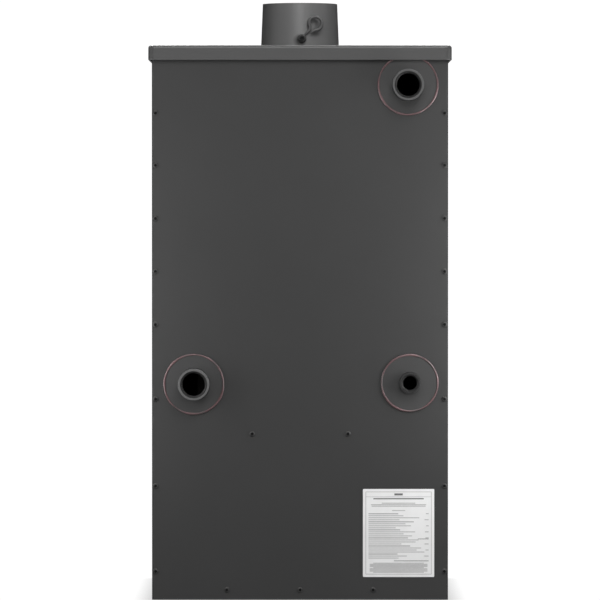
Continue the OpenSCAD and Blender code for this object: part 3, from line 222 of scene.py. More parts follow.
class Wiring:
    """Short ways to add nodes to one shader tree."""

    def __init__(self, tree):
        self.tree = tree

    def node(self, kind, inputs=None, **settings):
        """A node with its settings; each input is a plain value or another node's socket."""
        made = self.tree.nodes.new("ShaderNode" + kind)
        for key, value in settings.items():
            setattr(made, key, value)
        for key, value in (inputs or {}).items():
            if isinstance(value, bpy.types.NodeSocket):
                self.tree.links.new(value, made.inputs[key])
            else:
                made.inputs[key].default_value = value
        return made

    def calc(self, operation, first, second=0.5, clamp=False):
        """One step of arithmetic."""
        return self.node("Math", {0: first, 1: second}, operation=operation,
                         use_clamp=clamp).outputs[0]

    def times(self, first, second, clamp=False):
        """One value scaled by another."""
        return self.calc("MULTIPLY", first, second, clamp)

    def spread(self, value, low, high, to_low=0.0, to_high=1.0):
        """The value's stretch from low to high, laid over the stretch to_low to to_high."""
        return self.node("MapRange", {"Value": value, "From Min": low, "From Max": high,
                                      "To Min": to_low, "To Max": to_high}).outputs[0]

    def blend(self, share, first, second):
        """A colour between two others."""
        return self.node("Mix", {0: share, 6: first, 7: second}, data_type="RGBA").outputs[2]

    def place(self, stretch=(1.0, 1.0, 1.0)):
        """The point's place on the stove, stretched along the axes."""
        here = self.node("TexCoord").outputs["Object"]
        return self.node("Mapping", {"Vector": here, "Scale": stretch}).outputs[0]

    def noise(self, scale, detail=2.0, roughness=0.5, stretch=(1.0, 1.0, 1.0), distortion=0.0):
        """Cloudy values from 0 to 1, in about as many clouds to the metre as scale says."""
        return self.node("TexNoise", {"Vector": self.place(stretch), "Scale": scale,
                                      "Detail": detail, "Roughness": roughness,
                                      "Distortion": distortion}).outputs[0]

    def off_axis(self, x, z):
        """The point's distance from a level axis that runs front to rear through x and z."""
        here = self.node("SeparateXYZ", {0: self.node("TexCoord").outputs["Object"]}).outputs
        across = self.calc("SUBTRACT", here["X"], x)
        rise = self.calc("SUBTRACT", here["Z"], z)
        squares = self.calc("ADD", self.times(across, across), self.times(rise, rise))
        return self.calc("SQRT", squares)

    def by_camera(self, felt, shown):
        """One shader for what the camera sees, another for all other light."""
        rays = self.node("LightPath").outputs["Is Camera Ray"]
        return self.node("MixShader", {0: rays, 1: felt.outputs[0],
                                       2: shown.outputs[0]}).outputs[0]

    def cells(self, scale, output="Distance"):
        """The distance or colour of crowded round cells."""
        return self.node("TexVoronoi", {"Vector": self.place(), "Scale": scale}).outputs[output]


class Effect(Wiring):
    """A surface effect that several finishes share, as a node group with named sockets."""

    def __init__(self, name, inputs, outputs):
        super().__init__(bpy.data.node_groups.new(name, "ShaderNodeTree"))
        for title, value in inputs.items():
            socket = self.tree.interface.new_socket(name=title, in_out="INPUT",
                                                    socket_type="NodeSocketFloat")
            socket.default_value = value
        for title in outputs:
            self.tree.interface.new_socket(name=title, in_out="OUTPUT",
                                           socket_type="NodeSocketFloat")
        self.given = self.tree.nodes.new("NodeGroupInput").outputs
        self.result = self.tree.nodes.new("NodeGroupOutput").inputs

    def give(self, title, value):
        """Leads a value out of the group."""
        self.tree.links.new(value, self.result[title])


# Effects

def make_powder_coat():
    """Orange-peel skin and faint mottling of baked powder paint."""
    fx = Effect("powder_coat", {"Grain": 900.0, "Mottle": 9.0}, ("Height", "Tone", "Speck"))
    fx.give("Height", fx.noise(fx.given["Grain"], 1.5))
    fx.give("Tone", fx.spread(fx.noise(fx.given["Mottle"], 3.0), 0.3, 0.7))
    fx.give("Speck", fx.spread(fx.cells(fx.given["Grain"]), 0.06, 0.2, *FADE))
    return fx.tree


def make_worn_edges():
    """Where an outer corner has rubbed, broken up by noise."""
    fx = Effect("worn_edges", {"Reach": 0.0015, "Break": 60.0}, ("Wear",))
    rounded = fx.node("Bevel", {"Radius": fx.given["Reach"]}, samples=4).outputs[0]
    facing = fx.node("NewGeometry").outputs["Normal"]
    agree = fx.node("VectorMath", {0: rounded, 1: facing}, operation="DOT_PRODUCT")
    edge = fx.spread(agree.outputs["Value"], 0.985, 0.86)
    broken = fx.spread(fx.noise(fx.given["Break"], 4.0), 0.42, 0.62)
    fx.give("Wear", fx.times(edge, broken, clamp=True))
    return fx.tree


def make_settled_dust():
    """Fine dust that lies on faces that look up, in drifts."""
    fx = Effect("settled_dust", {"Amount": 0.3}, ("Dust",))
    facing = fx.node("SeparateXYZ", {0: fx.node("NewGeometry").outputs["Normal"]}).outputs["Z"]
    lying = fx.spread(facing, 0.55, 0.95)
    drift = fx.spread(fx.noise(26.0, 5.0, 0.62), 0.34, 0.7, 0.25, 1.0)
    fx.give("Dust", fx.times(fx.times(lying, drift), fx.given["Amount"], clamp=True))
    return fx.tree


def make_rolled_streaks():
    """Long faint streaks of rolled or brushed sheet."""
    fx = Effect("rolled_streaks", {"Length": 8.0, "Width": 900.0}, ("Streak", "Height"))
    drawn = fx.node("CombineXYZ", {"X": fx.given["Length"], "Y": fx.given["Width"],
                                   "Z": fx.given["Width"]}).outputs[0]
    lines = fx.noise(1.0, 3.0, stretch=drawn)
    fx.give("Streak", fx.spread(lines, 0.3, 0.7))
    fx.give("Height", lines)
    return fx.tree


def make_cast_skin():
    """The sandy skin of an iron casting, with a few small pits."""
    fx = Effect("cast_skin", {"Sand": 420.0}, ("Height", "Pits"))
    sand = fx.noise(fx.given["Sand"], 5.0, 0.62)
    swell = fx.noise(55.0, 3.0)
    pits = fx.spread(fx.cells(190.0), 0.05, 0.16, *FADE)
    body = fx.calc("ADD", fx.times(sand, 0.6), fx.times(swell, 0.4))
    fx.give("Height", fx.calc("SUBTRACT", body, fx.times(pits, 0.35)))
    fx.give("Pits", pits)
    return fx.tree


def make_soot():
    """Black smoke stain in soft clouds, with a level that sets how much is covered."""
    fx = Effect("soot", {"Cover": 0.5}, ("Soot",))
    clouds = fx.calc("ADD", fx.times(fx.noise(7.0, 6.0, 0.62), 0.7),
                     fx.times(fx.noise(45.0, 4.0), 0.3))
    level = fx.calc("SUBTRACT", 0.78, fx.times(fx.given["Cover"], 0.56))
    fx.give("Soot", fx.spread(fx.calc("SUBTRACT", clouds, level), -0.06, 0.1))
    return fx.tree


def make_hand_marks():
    """Faint smears where a smooth surface has been wiped or touched."""
    fx = Effect("hand_marks", {"Size": 14.0}, ("Smear",))
    smears = fx.noise(fx.given["Size"], 5.0, stretch=(1.0, 1.0, 0.45), distortion=0.8)
    fx.give("Smear", fx.spread(smears, 0.35, 0.68))
    return fx.tree


EFFECTS = {
    "powder_coat": make_powder_coat(),
    "worn_edges": make_worn_edges(),
    "settled_dust": make_settled_dust(),
    "rolled_streaks": make_rolled_streaks(),
    "cast_skin": make_cast_skin(),
    "soot": make_soot(),
    "hand_marks": make_hand_marks(),
}


# Finishes

SHADER_SOCKETS = {"shine": "Specular IOR Level", "clear": "Transmission Weight", "ior": "IOR",
                  "coat": "Coat Weight", "coat_roughness": "Coat Roughness"}


class Finish(Wiring):
    """One material: a Principled shader, its colour and roughness grown layer by layer."""

    def __init__(self, name, colour, roughness, metallic=0.0, **sockets):
        self.material = bpy.data.materials.new(name)
        self.material.use_nodes = True
        super().__init__(self.material.node_tree)
        self.shader = self.tree.nodes["Principled BSDF"]
        self.shader.inputs["Base Color"].default_value = colour
        self.shader.inputs["Roughness"].default_value = roughness
        self.shader.inputs["Metallic"].default_value = metallic
        for title, value in sockets.items():
            self.shader.inputs[SHADER_SOCKETS[title]].default_value = value
        self.material.diffuse_color = colour
        self.colour = colour
        self.roughness = roughness
        self.metallic = metallic
        self.normal = None

    def effect(self, name, **values):
        """The outputs of a shared effect."""
        made = self.tree.nodes.new("ShaderNodeGroup")
        made.node_tree = EFFECTS[name]
        for title, value in values.items():
            made.inputs[title].default_value = value
        return made.outputs

    def tint(self, share, colour):
        """Lays a colour over what is there, as far as share lets it show."""
        self.colour = self.blend(share, self.colour, colour)

    def patch(self, value, low, high, colour, most=1.0):
        """Lays a colour where the value rises from low to high, and returns how far."""
        cover = self.spread(value, low, high, 0.0, most)
        self.tint(cover, colour)
        return cover

    def smoke(self, cover, colour, most=1.0):
        """Blackens the surface in clouds of soot, and returns where."""
        soot = self.effect("soot", Cover=cover)["Soot"]
        self.tint(self.times(soot, most), colour)
        return soot

    def gloss(self, share, roughness):
        """Brings the roughness towards another, as far as share says."""
        self.roughness = self.node("Mix", {0: share, 2: self.roughness, 3: roughness}).outputs[0]

    def metal(self, share, metallic):
        """Brings the metallic look towards another, as far as share says."""
        self.metallic = self.node("Mix", {0: share, 2: self.metallic, 3: metallic}).outputs[0]

    def relief(self, height, depth, strength):
        """Fine unevenness, with its depth in metres."""
        self.normal = self.node("Bump", {"Height": height, "Distance": depth,
                                         "Strength": strength}).outputs[0]

    def rub(self, reach, share, colour):
        """Brightens the outer corners, as far in as reach, and returns where."""
        wear = self.effect("worn_edges", Reach=reach)["Wear"]
        self.tint(self.times(wear, share), colour)
        return wear

    def smear(self, share, roughness, size=14.0):
        """Dulls the surface in faint marks of wiping."""
        marks = self.effect("hand_marks", Size=size)["Smear"]
        self.gloss(self.times(marks, share), roughness)

    def done(self):
        """Wires up what has grown and hands over the material."""
        grown = {"Base Color": self.colour, "Roughness": self.roughness,
                 "Metallic": self.metallic, "Normal": self.normal}
        for title, value in grown.items():
            if isinstance(value, bpy.types.NodeSocket):
                self.tree.links.new(value, self.shader.inputs[title])
        return self.material


def powder_paint(name, colour, light, dark, roughness=0.5, wear=0.35, dust=0.22, peel=0.00009,
                 shine=0.26):
    """Baked powder paint on sheet steel: mottled, fine-skinned, rubbed bright at its corners."""
    made = Finish(name, colour, roughness, shine=shine)
    coat = made.effect("powder_coat")
    made.tint(made.times(coat["Tone"], 0.45), light)
    made.tint(made.times(coat["Speck"], 0.25), dark)
    made.smear(0.5, roughness + 0.1)
    made.rub(0.0012, wear, grey(126))
    settled = made.effect("settled_dust", Amount=dust)
    made.tint(settled["Dust"], paint(138, 132, 122))
    made.gloss(settled["Dust"], 0.85)
    made.relief(coat["Height"], peel, 0.55)
    return made.done()


def bare_steel(name, colour, roughness, streak_colour, metallic=1.0):
    """Drawn or rolled steel with long faint streaks."""
    made = Finish(name, colour, roughness, metallic)
    streaks = made.effect("rolled_streaks")
    lines = made.times(streaks["Streak"], 0.6)
    made.tint(lines, streak_colour)
    made.gloss(lines, roughness + 0.14)
    made.smear(0.4, roughness + 0.2, 30.0)
    made.relief(streaks["Height"], 0.00003, 0.5)
    return made.done()


def cast_iron(name, colour, roughness, soot=0.0, rust=0.0, depth=0.0005, metallic=0.0,
              spindle_soot_and_shade=0.0, pitted=1.0):
    """Iron casting with a sandy skin, and soot or a bloom of rust where the fire reaches it.

    A painted shade, with some soot, darkens it round the damper's spindle as far as the given
    radius.
    """
    made = Finish(name, colour, roughness, metallic, shine=0.5)
    skin = made.effect("cast_skin")
    pits = made.times(skin["Pits"], pitted)
    made.tint(made.times(pits, 0.5), grey(18))
    made.gloss(pits, 0.8)
    made.rub(0.002, 0.5, grey(118))
    if rust:
        made.patch(made.noise(38.0, 6.0, 0.65), 0.5, 0.72, paint(110, 66, 42), rust)
    if soot:
        made.gloss(made.smoke(soot, grey(20)), 0.95)
    if spindle_soot_and_shade:
        # Painted shade, with some soot, darker towards the damper spindle's axis
        made.patch(made.off_axis(0.0, SPINDLE_SHADE_Z), spindle_soot_and_shade, spindle_soot_and_shade * 0.42, grey(26), 0.85)
    made.relief(skin["Height"], depth, 0.6)
    return made.done()


def black_paint(name, level, lighter, roughness, grain, **sockets):
    """Plain black paint, faintly clouded with a lighter grey."""
    made = Finish(name, grey(level), roughness, **sockets)
    made.patch(made.noise(grain), 0.4, 0.7, grey(lighter))
    return made.done()


def socket_primer(node, bore_shade_edge, tone):
    """Primer on a pipe socket's outside; its mouth is painted black as the shade inside the bore.
    """
    middle = box_of(node)[2]
    made = Finish(node + "_primer", grey(tone), 0.46, shine=0.4)
    coat = made.effect("powder_coat")
    made.tint(made.times(coat["Tone"], 0.5), grey(tone - 8))
    made.rub(0.001, 0.6, grey(tone + 44))
    off = made.off_axis(middle.x, middle.z)
    # Painted shade: black inside the bore's edge
    made.gloss(made.patch(off, bore_shade_edge, bore_shade_edge - 0.0004, grey(7)), 0.75)
    made.relief(coat["Height"], 0.00014, 0.55)
    return made.done()


def boiler_plate():
    """Dark hot-rolled boiler plate, marked by heat, rust and smoke."""
    made = Finish("boiler_plate", paint(58, 55, 53), 0.66, shine=0.3)
    skin = made.effect("cast_skin", Sand=260.0)
    mill_scale, rust = made.noise(11.0, 6.0, 0.6), made.noise(31.0, 7.0, 0.7)
    made.patch(mill_scale, 0.42, 0.66, paint(46, 43, 42), 0.6)
    made.patch(rust, 0.58, 0.74, paint(84, 56, 40), 0.4)
    made.smoke(0.42, grey(22))
    made.relief(skin["Height"], 0.0002, 0.5)
    return made.done()


def firebrick():
    """Pale pressed fire board, flecked with mica and smoked in clouds."""
    made = Finish("fire_board", paint(196, 172, 132), 0.88, shine=0.2)
    flecks, grains = made.cells(520.0), made.noise(900.0)
    made.patch(flecks, 0.3, 0.1, paint(232, 214, 170), 0.55)
    made.patch(grains, 0.35, 0.7, paint(142, 112, 78), 0.35)
    made.smoke(0.5, grey(44), 0.8)
    made.relief(made.noise(700.0, 4.0, 0.6), 0.0004, 0.6)
    return made.done()


def fibre_gasket():
    """Off-white pressed fibre sheet."""
    made = Finish("fibre_gasket", paint(196, 190, 180), 0.95, shine=0.1)
    fibres = made.noise(60.0, 4.0, 0.6, stretch=(9.0, 1.0, 9.0))
    made.patch(fibres, 0.4, 0.65, paint(158, 150, 138))
    made.relief(fibres, 0.0003, 0.6)
    return made.done()


def rope_yarn():
    """Black glass-fibre yarn of the door seal, dusted grey by ash."""
    made = Finish("door_rope_yarn", grey(58), 0.9, shine=0.25)
    yarn = made.noise(1500.0, 3.0, 0.6)
    made.patch(yarn, 0.4, 0.65, grey(26))
    made.patch(made.noise(42.0, 5.0), 0.52, 0.75, paint(150, 146, 138), 0.5)
    made.relief(yarn, 0.0004, 0.7)
    return made.done()


def silicone():
    """Red high-temperature silicone, laid as a thin bead and wiped by hand."""
    made = Finish("red_silicone", paint(97, 72, 74), 0.3, shine=0.6, coat=0.4, coat_roughness=0.2)
    lumps = made.noise(240.0, 3.0)
    made.patch(lumps, 0.35, 0.7, paint(84, 60, 62))
    made.patch(made.noise(34.0, 3.0), 0.5, 0.66, grey(66), 0.6)
    made.relief(lumps, 0.0006, 0.6)
    return made.done()


def plate_film():
    """Silvered film of the rating plate, faintly creased."""
    made = Finish("rating_film", grey(229), 0.5, shine=0.4)
    marks = made.effect("hand_marks", Size=22.0)
    made.tint(made.times(marks["Smear"], 0.5), grey(214))
    made.relief(made.noise(18.0), 0.0003, 0.3)
    return made.done()


def printed_grey(name, level):
    """Thin grey ink on the rating plate or the dial, worn by wiping."""
    made = Finish(name, grey(level), 0.6)
    made.patch(made.noise(500.0, 3.0), 0.45, 0.8, grey(level + 34), 0.4)
    return made.done()


def door_pane():
    """Heat-proof door glass with a veil of smoke."""
    made = Finish("door_pane", (0.9, 0.92, 0.9, 1.0), 0.03, clear=0.94, ior=1.47)
    made.gloss(made.smoke(0.3, grey(60), 0.7), 0.3)
    return made.done()


def gauge_lens():
    """Clear flat lens of the thermometer, with faint wipe marks."""
    made = Finish("gauge_lens", (0.97, 0.98, 0.98, 1.0), 0.02, clear=1.0, ior=1.45)
    made.smear(0.6, 0.1, 60.0)
    return made.done()


def dial_enamel():
    """White dial face, slightly yellowed."""
    made = Finish("dial_enamel", grey(232), 0.45)
    made.patch(made.noise(90.0, 3.0), 0.45, 0.75, paint(222, 216, 198), 0.5)
    made.relief(made.noise(900.0, 1.0), 0.00002, 0.3)
    return made.done()


def plated_rim():
    """Bright plated rim of the thermometer."""
    made = Finish("plated_rim", grey(205), 0.14, 1.0)
    made.smear(0.7, 0.3, 50.0)
    made.rub(0.0008, 0.4, paint(170, 160, 140))
    return made.done()


def turned_beech():
    """Stained and oiled beech, its grain along the grip."""
    made = Finish("stained_beech", paint(124, 74, 44), 0.42, shine=0.4,
                  coat=0.25, coat_roughness=0.3)
    grain = made.noise(90.0, 5.0, 0.6, stretch=(0.12, 1.0, 1.0), distortion=0.6)
    made.patch(grain, 0.4, 0.62, paint(78, 42, 24))
    pores = made.spread(made.noise(900.0, 2.0, 0.5, stretch=(0.05, 1.0, 1.0)), 0.58, 0.7)
    made.tint(made.times(pores, 0.6), paint(46, 26, 16))
    made.gloss(pores, 0.62)
    made.relief(made.calc("SUBTRACT", grain, pores), 0.0002, 0.4)
    return made.done()


def heat_proof_resin():
    """Black moulded resin of the knobs, dulled on its ribs by handling."""
    made = Finish("black_resin", grey(34), 0.4, shine=0.5)
    fine = made.noise(1400.0)
    made.patch(fine, 0.3, 0.75, grey(26))
    made.gloss(made.rub(0.001, 0.5, grey(70)), 0.25)
    made.relief(fine, 0.00006, 0.5)
    return made.done()


def zinc_sheet():
    """Galvanised sheet with its frosted crystal patches."""
    made = Finish("galvanised_sheet", grey(168), 0.4, 1.0)
    level = made.node("SeparateColor", {0: made.cells(70.0, "Color")}).outputs[0]
    made.patch(level, 0.0, 1.0, grey(132), 0.7)
    made.gloss(level, 0.56)
    ash = made.patch(made.noise(24.0, 5.0, 0.6), 0.5, 0.75, paint(140, 134, 126), 0.6)
    made.metal(ash, 0.1)
    made.gloss(ash, 0.85)
    return made.done()


FINISHES = {
    "casing": powder_paint("charcoal_casing_paint", grey(53), grey(57), grey(46)),
    # The top's charcoal paint is set lighter than the casing's to paint the light on its lip
    "top": powder_paint("charcoal_top_paint", grey(70), grey(74), grey(63), roughness=0.22,
                        dust=0.04, shine=0.44),
    "rosette": powder_paint("charcoal_rosette_paint", grey(60), grey(64), grey(52)),
    "door": powder_paint("door_casting_paint", grey(56), grey(61), grey(46), roughness=0.52,
                         wear=0.25, peel=0.0002),
    "base": powder_paint("base_paint", grey(52), grey(58), grey(42), roughness=0.55, wear=0.5),
    # Round the damper's spindle, the spigot, lever and wire handle are darkened by painted shade
    # with some soot
    "spigot": cast_iron("spigot_casting", grey(117), 0.3, depth=0.00003, metallic=0.3,
                        spindle_soot_and_shade=0.0125, pitted=0.1),
    "damper": cast_iron("damper_iron", grey(76), 0.4, rust=0.06, depth=0.0002, spindle_soot_and_shade=0.02),
    "wire": cast_iron("wire_iron", grey(84), 0.5, depth=0.0001, spindle_soot_and_shade=0.02),
    "hub": cast_iron("spindle_iron", grey(30), 0.8, depth=0.0001),
    "grate": cast_iron("grate_casting", grey(62), 0.6, soot=0.35, rust=0.5),
    # Each socket's primer tone is set to paint the light on it, and the drain's dark tone is
    # painted shade; inside each bore edge the mouth is painted black as shade
    "supply": socket_primer("supply_socket", 0.0228, 78),
    "return": socket_primer("return_socket", 0.0228, 92),
    "drain": socket_primer("drain_socket", 0.0152, 36),
    # The threads are painted near black as the shade deep in the socket bores
    "thread": bare_steel("oily_thread_steel", grey(16), 0.6, grey(9), metallic=0.2),
    "boiler": boiler_plate(),
    "brick": firebrick(),
    "gasket": fibre_gasket(),
    "rope": rope_yarn(),
    "seal": silicone(),
    "film": plate_film(),
    "faint_ink": printed_grey("faint_plate_ink", 168),
    "strong_ink": printed_grey("strong_plate_ink", 104),
    "dial_ink": printed_grey("dial_ink", 24),
    # The screw heads are a darker copy of the casing paint, as painted shade, and their recesses
    # are painted black as shade
    "screw": powder_paint("screw_head_paint", grey(48), grey(54), grey(40), wear=0.2),
    "recess": black_paint("black_recess", 20, 28, 0.95, 900.0, shine=0.05),
    "bright": bare_steel("bright_drawn_steel", grey(176), 0.28, grey(140)),
    "pane": door_pane(),
    "lens": gauge_lens(),
    "dial": dial_enamel(),
    "rim": plated_rim(),
    "needle": black_paint("needle_enamel", 22, 34, 0.4, 800.0),
    "wood": turned_beech(),
    "resin": heat_proof_resin(),
    "zinc": zinc_sheet(),
}

# The CAD parts in each finish, and how far their edges are rounded
PARTS = {
    "base": {"floor_rails": 0.0012, "base_plate": 0.0006, "lower_body": 0.0008,
             "ash_shelf": 0.0006, "air_deflector": 0.0003},
    "boiler": {"boiler_wrapper": 0.001, "boiler_rear_plate": 0.0006, "firebox_shell": 0.0,
               "jacket_strips": 0.0006, "water_tubes": 0.0, "smoke_outlet": 0.0,
               "baffle_brackets": 0.0006},
    "gasket": {"flue_gasket": 0.0004, "glass_gasket": 0.0003},
    "spigot": {"flue_spigot": 0.0006},
    "bright": {"flue_nuts": 0.0003, "hinge_pins": 0.0006, "glass_clips": 0.0003,
               "clip_screws": 0.0003, "handle_spindle": 0.0006, "wood_handle": 0.0},
    "top": {"top_plate": 0.0006},
    "casing": {"side_panel_left": 0.0007, "side_panel_right": 0.0007, "rear_panel": 0.0005,
               "front_plate": 0.0008, "slide_guides": 0.0004, "ash_drawer_front": 0.0012,
               "wood_drawer_front": 0.0012, "air_slide": 0.0003},
    "supply": {"supply_socket": 0.0006},
    "return": {"return_socket": 0.0006},
    "drain": {"drain_socket": 0.0005},
    "rosette": {"pipe_rosettes": 0.0004},
    "seal": {"rosette_seals": 0.0},
    "film": {"rating_plate": 0.0},
    "screw": {"panel_screws": 0.0},
    "grate": {"grate_frame": 0.001, "grate": 0.0012, "log_retainer": 0.001, "damper_disc": 0.0006},
    "brick": {"firebricks": 0.0015, "baffle_plate": 0.0015},
    "door": {"hinge_brackets": 0.0006, "door_frame": 0.0014, "air_disc": 0.0005},
    "rim": {"thermometer_case": 0.0007},
    "dial": {"thermometer_dial": 0.0},
    "lens": {"thermometer_lens": 0.0},
    "needle": {"thermometer_needle": 0.0},
    "pane": {"door_glass": 0.0006},
    "rope": {"door_rope": 0.0},
    "damper": {"handle_lever": 0.0008},
    "wood": {"handle_grip": 0.0},
    "zinc": {"ash_pan": 0.0003, "wood_box": 0.0003},
    "resin": {"air_knob": 0.0006, "air_slide_knob": 0.0006},
    "hub": {"damper_spindle": 0.0},
    "wire": {"damper_handle": 0.0},
}


def finish_cad_parts():
    """Gives each part of the frame its finish and the small radii of its edges."""
    for finish, members in PARTS.items():
        for name, radius in members.items():
            for holder in NODES[name].material_slots:
                holder.material = FINISHES[finish]
            if radius:
                round_edges(NODES[name], radius)


finish_cad_parts()


# Rear panel and its fittings

def make_screw_heads():
    """Broad low heads under the casing's paint, each with a six-lobed recess painted dark as its
    shade.
    """
    dome = ((0.0022, 0.0011), (0.0024, 0.0018), (0.0031, 0.0017), (0.0042, 0.0010), (0.0048, 0.0))
    recess = ((0.0001, 0.0005), (0.0017, 0.0005, True), (0.0020, 0.0010, True), (0.0024, 0.0017))
    columns = [(side * SCREW_COLUMN_X, share * CASING_H)
               for side in (-1, 1) for share in SCREW_COLUMN_SHARES]
    heads, cups = Shape(), Shape()
    for x, z in (*columns, *SCREW_MIDDLE, *SCREW_FOOT):
        foot = (x, REAR_FACE, z)
        heads.turned(dome, foot, REARWARD, steps=36, caps=False)
        cups.turned(recess, foot, REARWARD, steps=36, lobes=6, lobe_share=0.14)
    make_piece("screw_recesses", cups, "recess", "stove", corners=50.0)
    make_piece("panel_screw_heads", heads, "screw", "stove",
               stands_for=("panel_screws",), corners=50.0)


def make_thread(name, node, bore, pitch, length=0.022, depth=0.0011):
    """The pipe thread inside a socket's mouth, one ridge wound round the bore."""
    high, middle = box_of(node)[1:]
    chamfer = 0.0012
    root = bore + 0.0003
    steps = 40
    turns = length / pitch
    rings = []
    for k in range(int(turns * steps) + 1):
        angle = FULL_TURN * k / steps
        y = high.y - chamfer - pitch * 0.5 - pitch * k / steps
        crest = bore - depth * min(1.0, k / steps, turns - k / steps)
        rings.append([(middle.x + radius * math.cos(angle), y + shift * pitch,
                       middle.z + radius * math.sin(angle))
                      for radius, shift in ((root, 0.48), (crest, 0.06), (crest, -0.06),
                                            (root, -0.48))])
    ridge = Shape()
    ridge.loft(rings)
    make_piece(name, ridge, "thread", "stove", corners=35.0)


def make_plate_rules():
    """Plain ruled bars and a frame on the rating plate."""
    low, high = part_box("rating_plate")
    face = high.y + 0.00002
    top = face + 0.00012
    border = 0.0048
    line = 0.0009
    left, right = high.x - border, low.x + border
    foot, head = low.z + border, high.z - border
    middle = (left + right) / 2
    margin = 0.0045
    start, end = left - margin, right + margin
    width = start - end
    faint, strong = Shape(), Shape()

    def bar(ink, x0, x1, z, thick):
        ink.slab((x0, face, z - thick / 2), (x1, top, z + thick / 2))

    def centred(ink, half, z, thick):
        bar(ink, middle - half, middle + half, z, thick)

    for z, thick in ((foot, line), (head, line), (head - 0.0082, line * 0.7)):
        bar(faint, right, left, z, thick)
    for x in (left, right):
        faint.slab((x - line / 2, face, foot), (x + line / 2, top, head))
    centred(strong, 0.007, head - 0.0042, 0.0034)
    centred(strong, 0.042, head - 0.0114, 0.0019)
    for half, drop in ((0.028, 0.0188), (0.046, 0.0214), (0.045, 0.0238), (0.011, 0.0312)):
        centred(faint, half, head - drop, 0.0013)

    # The list: ragged rows from the left, and short marks at the right
    rows = 23
    first = head - 0.0365
    gap = (first - foot - 0.0235) / rows
    for row in range(rows):
        z = first - gap * row
        reach = width * dice.uniform(0.42, 0.94)
        bar(faint, start - reach, start, z, 0.0013 if row % 4 else 0.0018)
        if row % 3 == 0:
            bar(strong, end, end + dice.uniform(0.004, 0.009), z, 0.0008)
    bar(strong, end, end + 0.018, first - gap * 12.5, 0.0009)
    bar(strong, end, right + 0.62 * width, foot + 0.0222, 0.0011)

    # The closing lines at the foot
    for row in range(9):
        inset = 0.002 if row % 4 else 0.008
        bar(faint, end + inset, start - inset, foot + 0.0032 + 0.0019 * row, 0.0012)
    make_piece("plate_heading_bars", strong, "strong_ink", "stove", smooth=False)
    make_piece("plate_rules", faint, "faint_ink", "stove", smooth=False)


def make_seal_beads():
    """The bead round each rosette, laid by hand: its width wanders and its crown is wiped low."""
    half_width, height = 0.0017, 0.0025
    tuck = 0.0003
    steps, arc = 120, 6
    beads = Shape()
    for socket, edge in (("supply_socket", 0.0495), ("return_socket", 0.0495),
                         ("drain_socket", 0.047)):
        centre = box_of(socket)[2]
        foot = Vector((centre.x, REAR_FACE, centre.z))
        waves = [(n, dice.uniform(0.0, FULL_TURN), dice.uniform(0.05, 0.16))
                 for n in (2, 3, 5, 9)]
        rings = []
        for k in range(steps):
            angle = FULL_TURN * k / steps
            wander = 1 + sum(size * math.sin(n * angle + start) for n, start, size in waves)
            wide = half_width * wander
            tall = height * (0.75 + 0.25 * wander)
            radial = Vector((math.cos(angle), 0.0, math.sin(angle)))
            rings.append([foot + radial * (edge - tuck + wide * math.cos(turn))
                          + Vector((0.0, tall * math.sin(turn), 0.0))
                          for turn in (math.pi * step / arc for step in range(arc + 1))])
        beads.loft(rings, closed=True)
    make_piece("silicone_beads", beads, "seal", "stove", stands_for=("rosette_seals",))


make_seal_beads()
make_screw_heads()
make_thread("supply_thread", "supply_socket", 0.0202, 0.00231)
make_thread("return_thread", "return_socket", 0.0202, 0.00231)
make_thread("drain_thread", "drain_socket", 0.0126, 0.00181, length=0.016, depth=0.0009)
make_plate_rules()


# Damper handle

def make_damper_handle():
    """One thick wire that leaves the spindle's nut, curls round once and ends in a short tail."""
    turn = math.radians(2.7)
    out = Vector((-math.sin(turn), math.cos(turn), 0.0))
    across = Vector((-math.cos(turn), -math.sin(turn), 0.0))
    up = Vector(UPWARD)
    middle = box_of("damper_handle")[2]
    hub = Vector((0.0, FLUE_Y, DAMPER_Z)) + out * ((middle.y - FLUE_Y) / math.cos(turn))
    nut = 0.0045
    arm = 0.034
    lean = math.radians(48.0)
    eye_x, eye_z = arm * math.cos(lean), arm * math.sin(lean)
    eye_radius, growth, bow = 0.0108, 0.0006, 0.0008
    start, sweep = 212.0, 306.0
    thin, thick = 0.0019, 0.0029

    path = []
    for k in range(5):
        reach = nut + (arm - eye_radius - nut) * k / 5
        path.append((reach * math.cos(lean), reach * math.sin(lean)))
    bends = 46
    for k in range(bends + 1):
        share = k / bends
        angle = math.radians(start - sweep * share)
        grown = eye_radius + growth * share
        path.append((eye_x + grown * math.cos(angle), eye_z + grown * math.sin(angle)))
    for tail_x, tail_z in ((0.0022, 0.0016), (0.0018, 0.0022)):
        path.append((path[-1][0] - tail_x, path[-1][1] - tail_z))
    count = len(path)
    points = [hub + out * (bow * math.sin(math.pi * i / count)) + across * x + up * z
              for i, (x, z) in enumerate(path)]
    radii = [thin + (thick - thin) * min(1.0, i / 6) for i in range(count)]
    radii[-1] = thick * 0.86
    loop = Shape()
    loop.swept(points, radii, sides=14)
    loop.turned(((0.0042, -0.0028), (0.0066, -0.0034), (0.0073, -0.0028), (0.0075, 0.0),
                 (0.0073, 0.0026), (0.0066, 0.0034), (0.0044, 0.0034), (0.0036, 0.0028),
                 (0.0036, -0.002)), hub, out, steps=32, caps=False)
    make_piece("damper_wire_handle", loop, "wire", "damper",
               stands_for=("damper_handle",), corners=50.0)


def make_spigot_shadow_packing():
    """Soft black packing pressed into the gap between the spigot and the top plate; it paints the
    dark shadow line at the spigot's foot.
    """
    inner, outer = 0.0645, 0.0674
    top = CASING_H + 0.0016
    foot = top - 0.006
    packing = Shape()
    packing.turned(((inner, foot), (inner, top - 0.0004), (inner + 0.0006, top),
                    (outer - 0.0006, top - 0.0004), (outer, top - 0.0014), (outer, foot)),
                   (0.0, FLUE_Y, 0.0), UPWARD, steps=96, caps=False)
    make_piece("spigot_packing_painted_shadow", packing, "rope", "stove", corners=35.0)


make_damper_handle()
make_spigot_shadow_packing()


# Door fittings

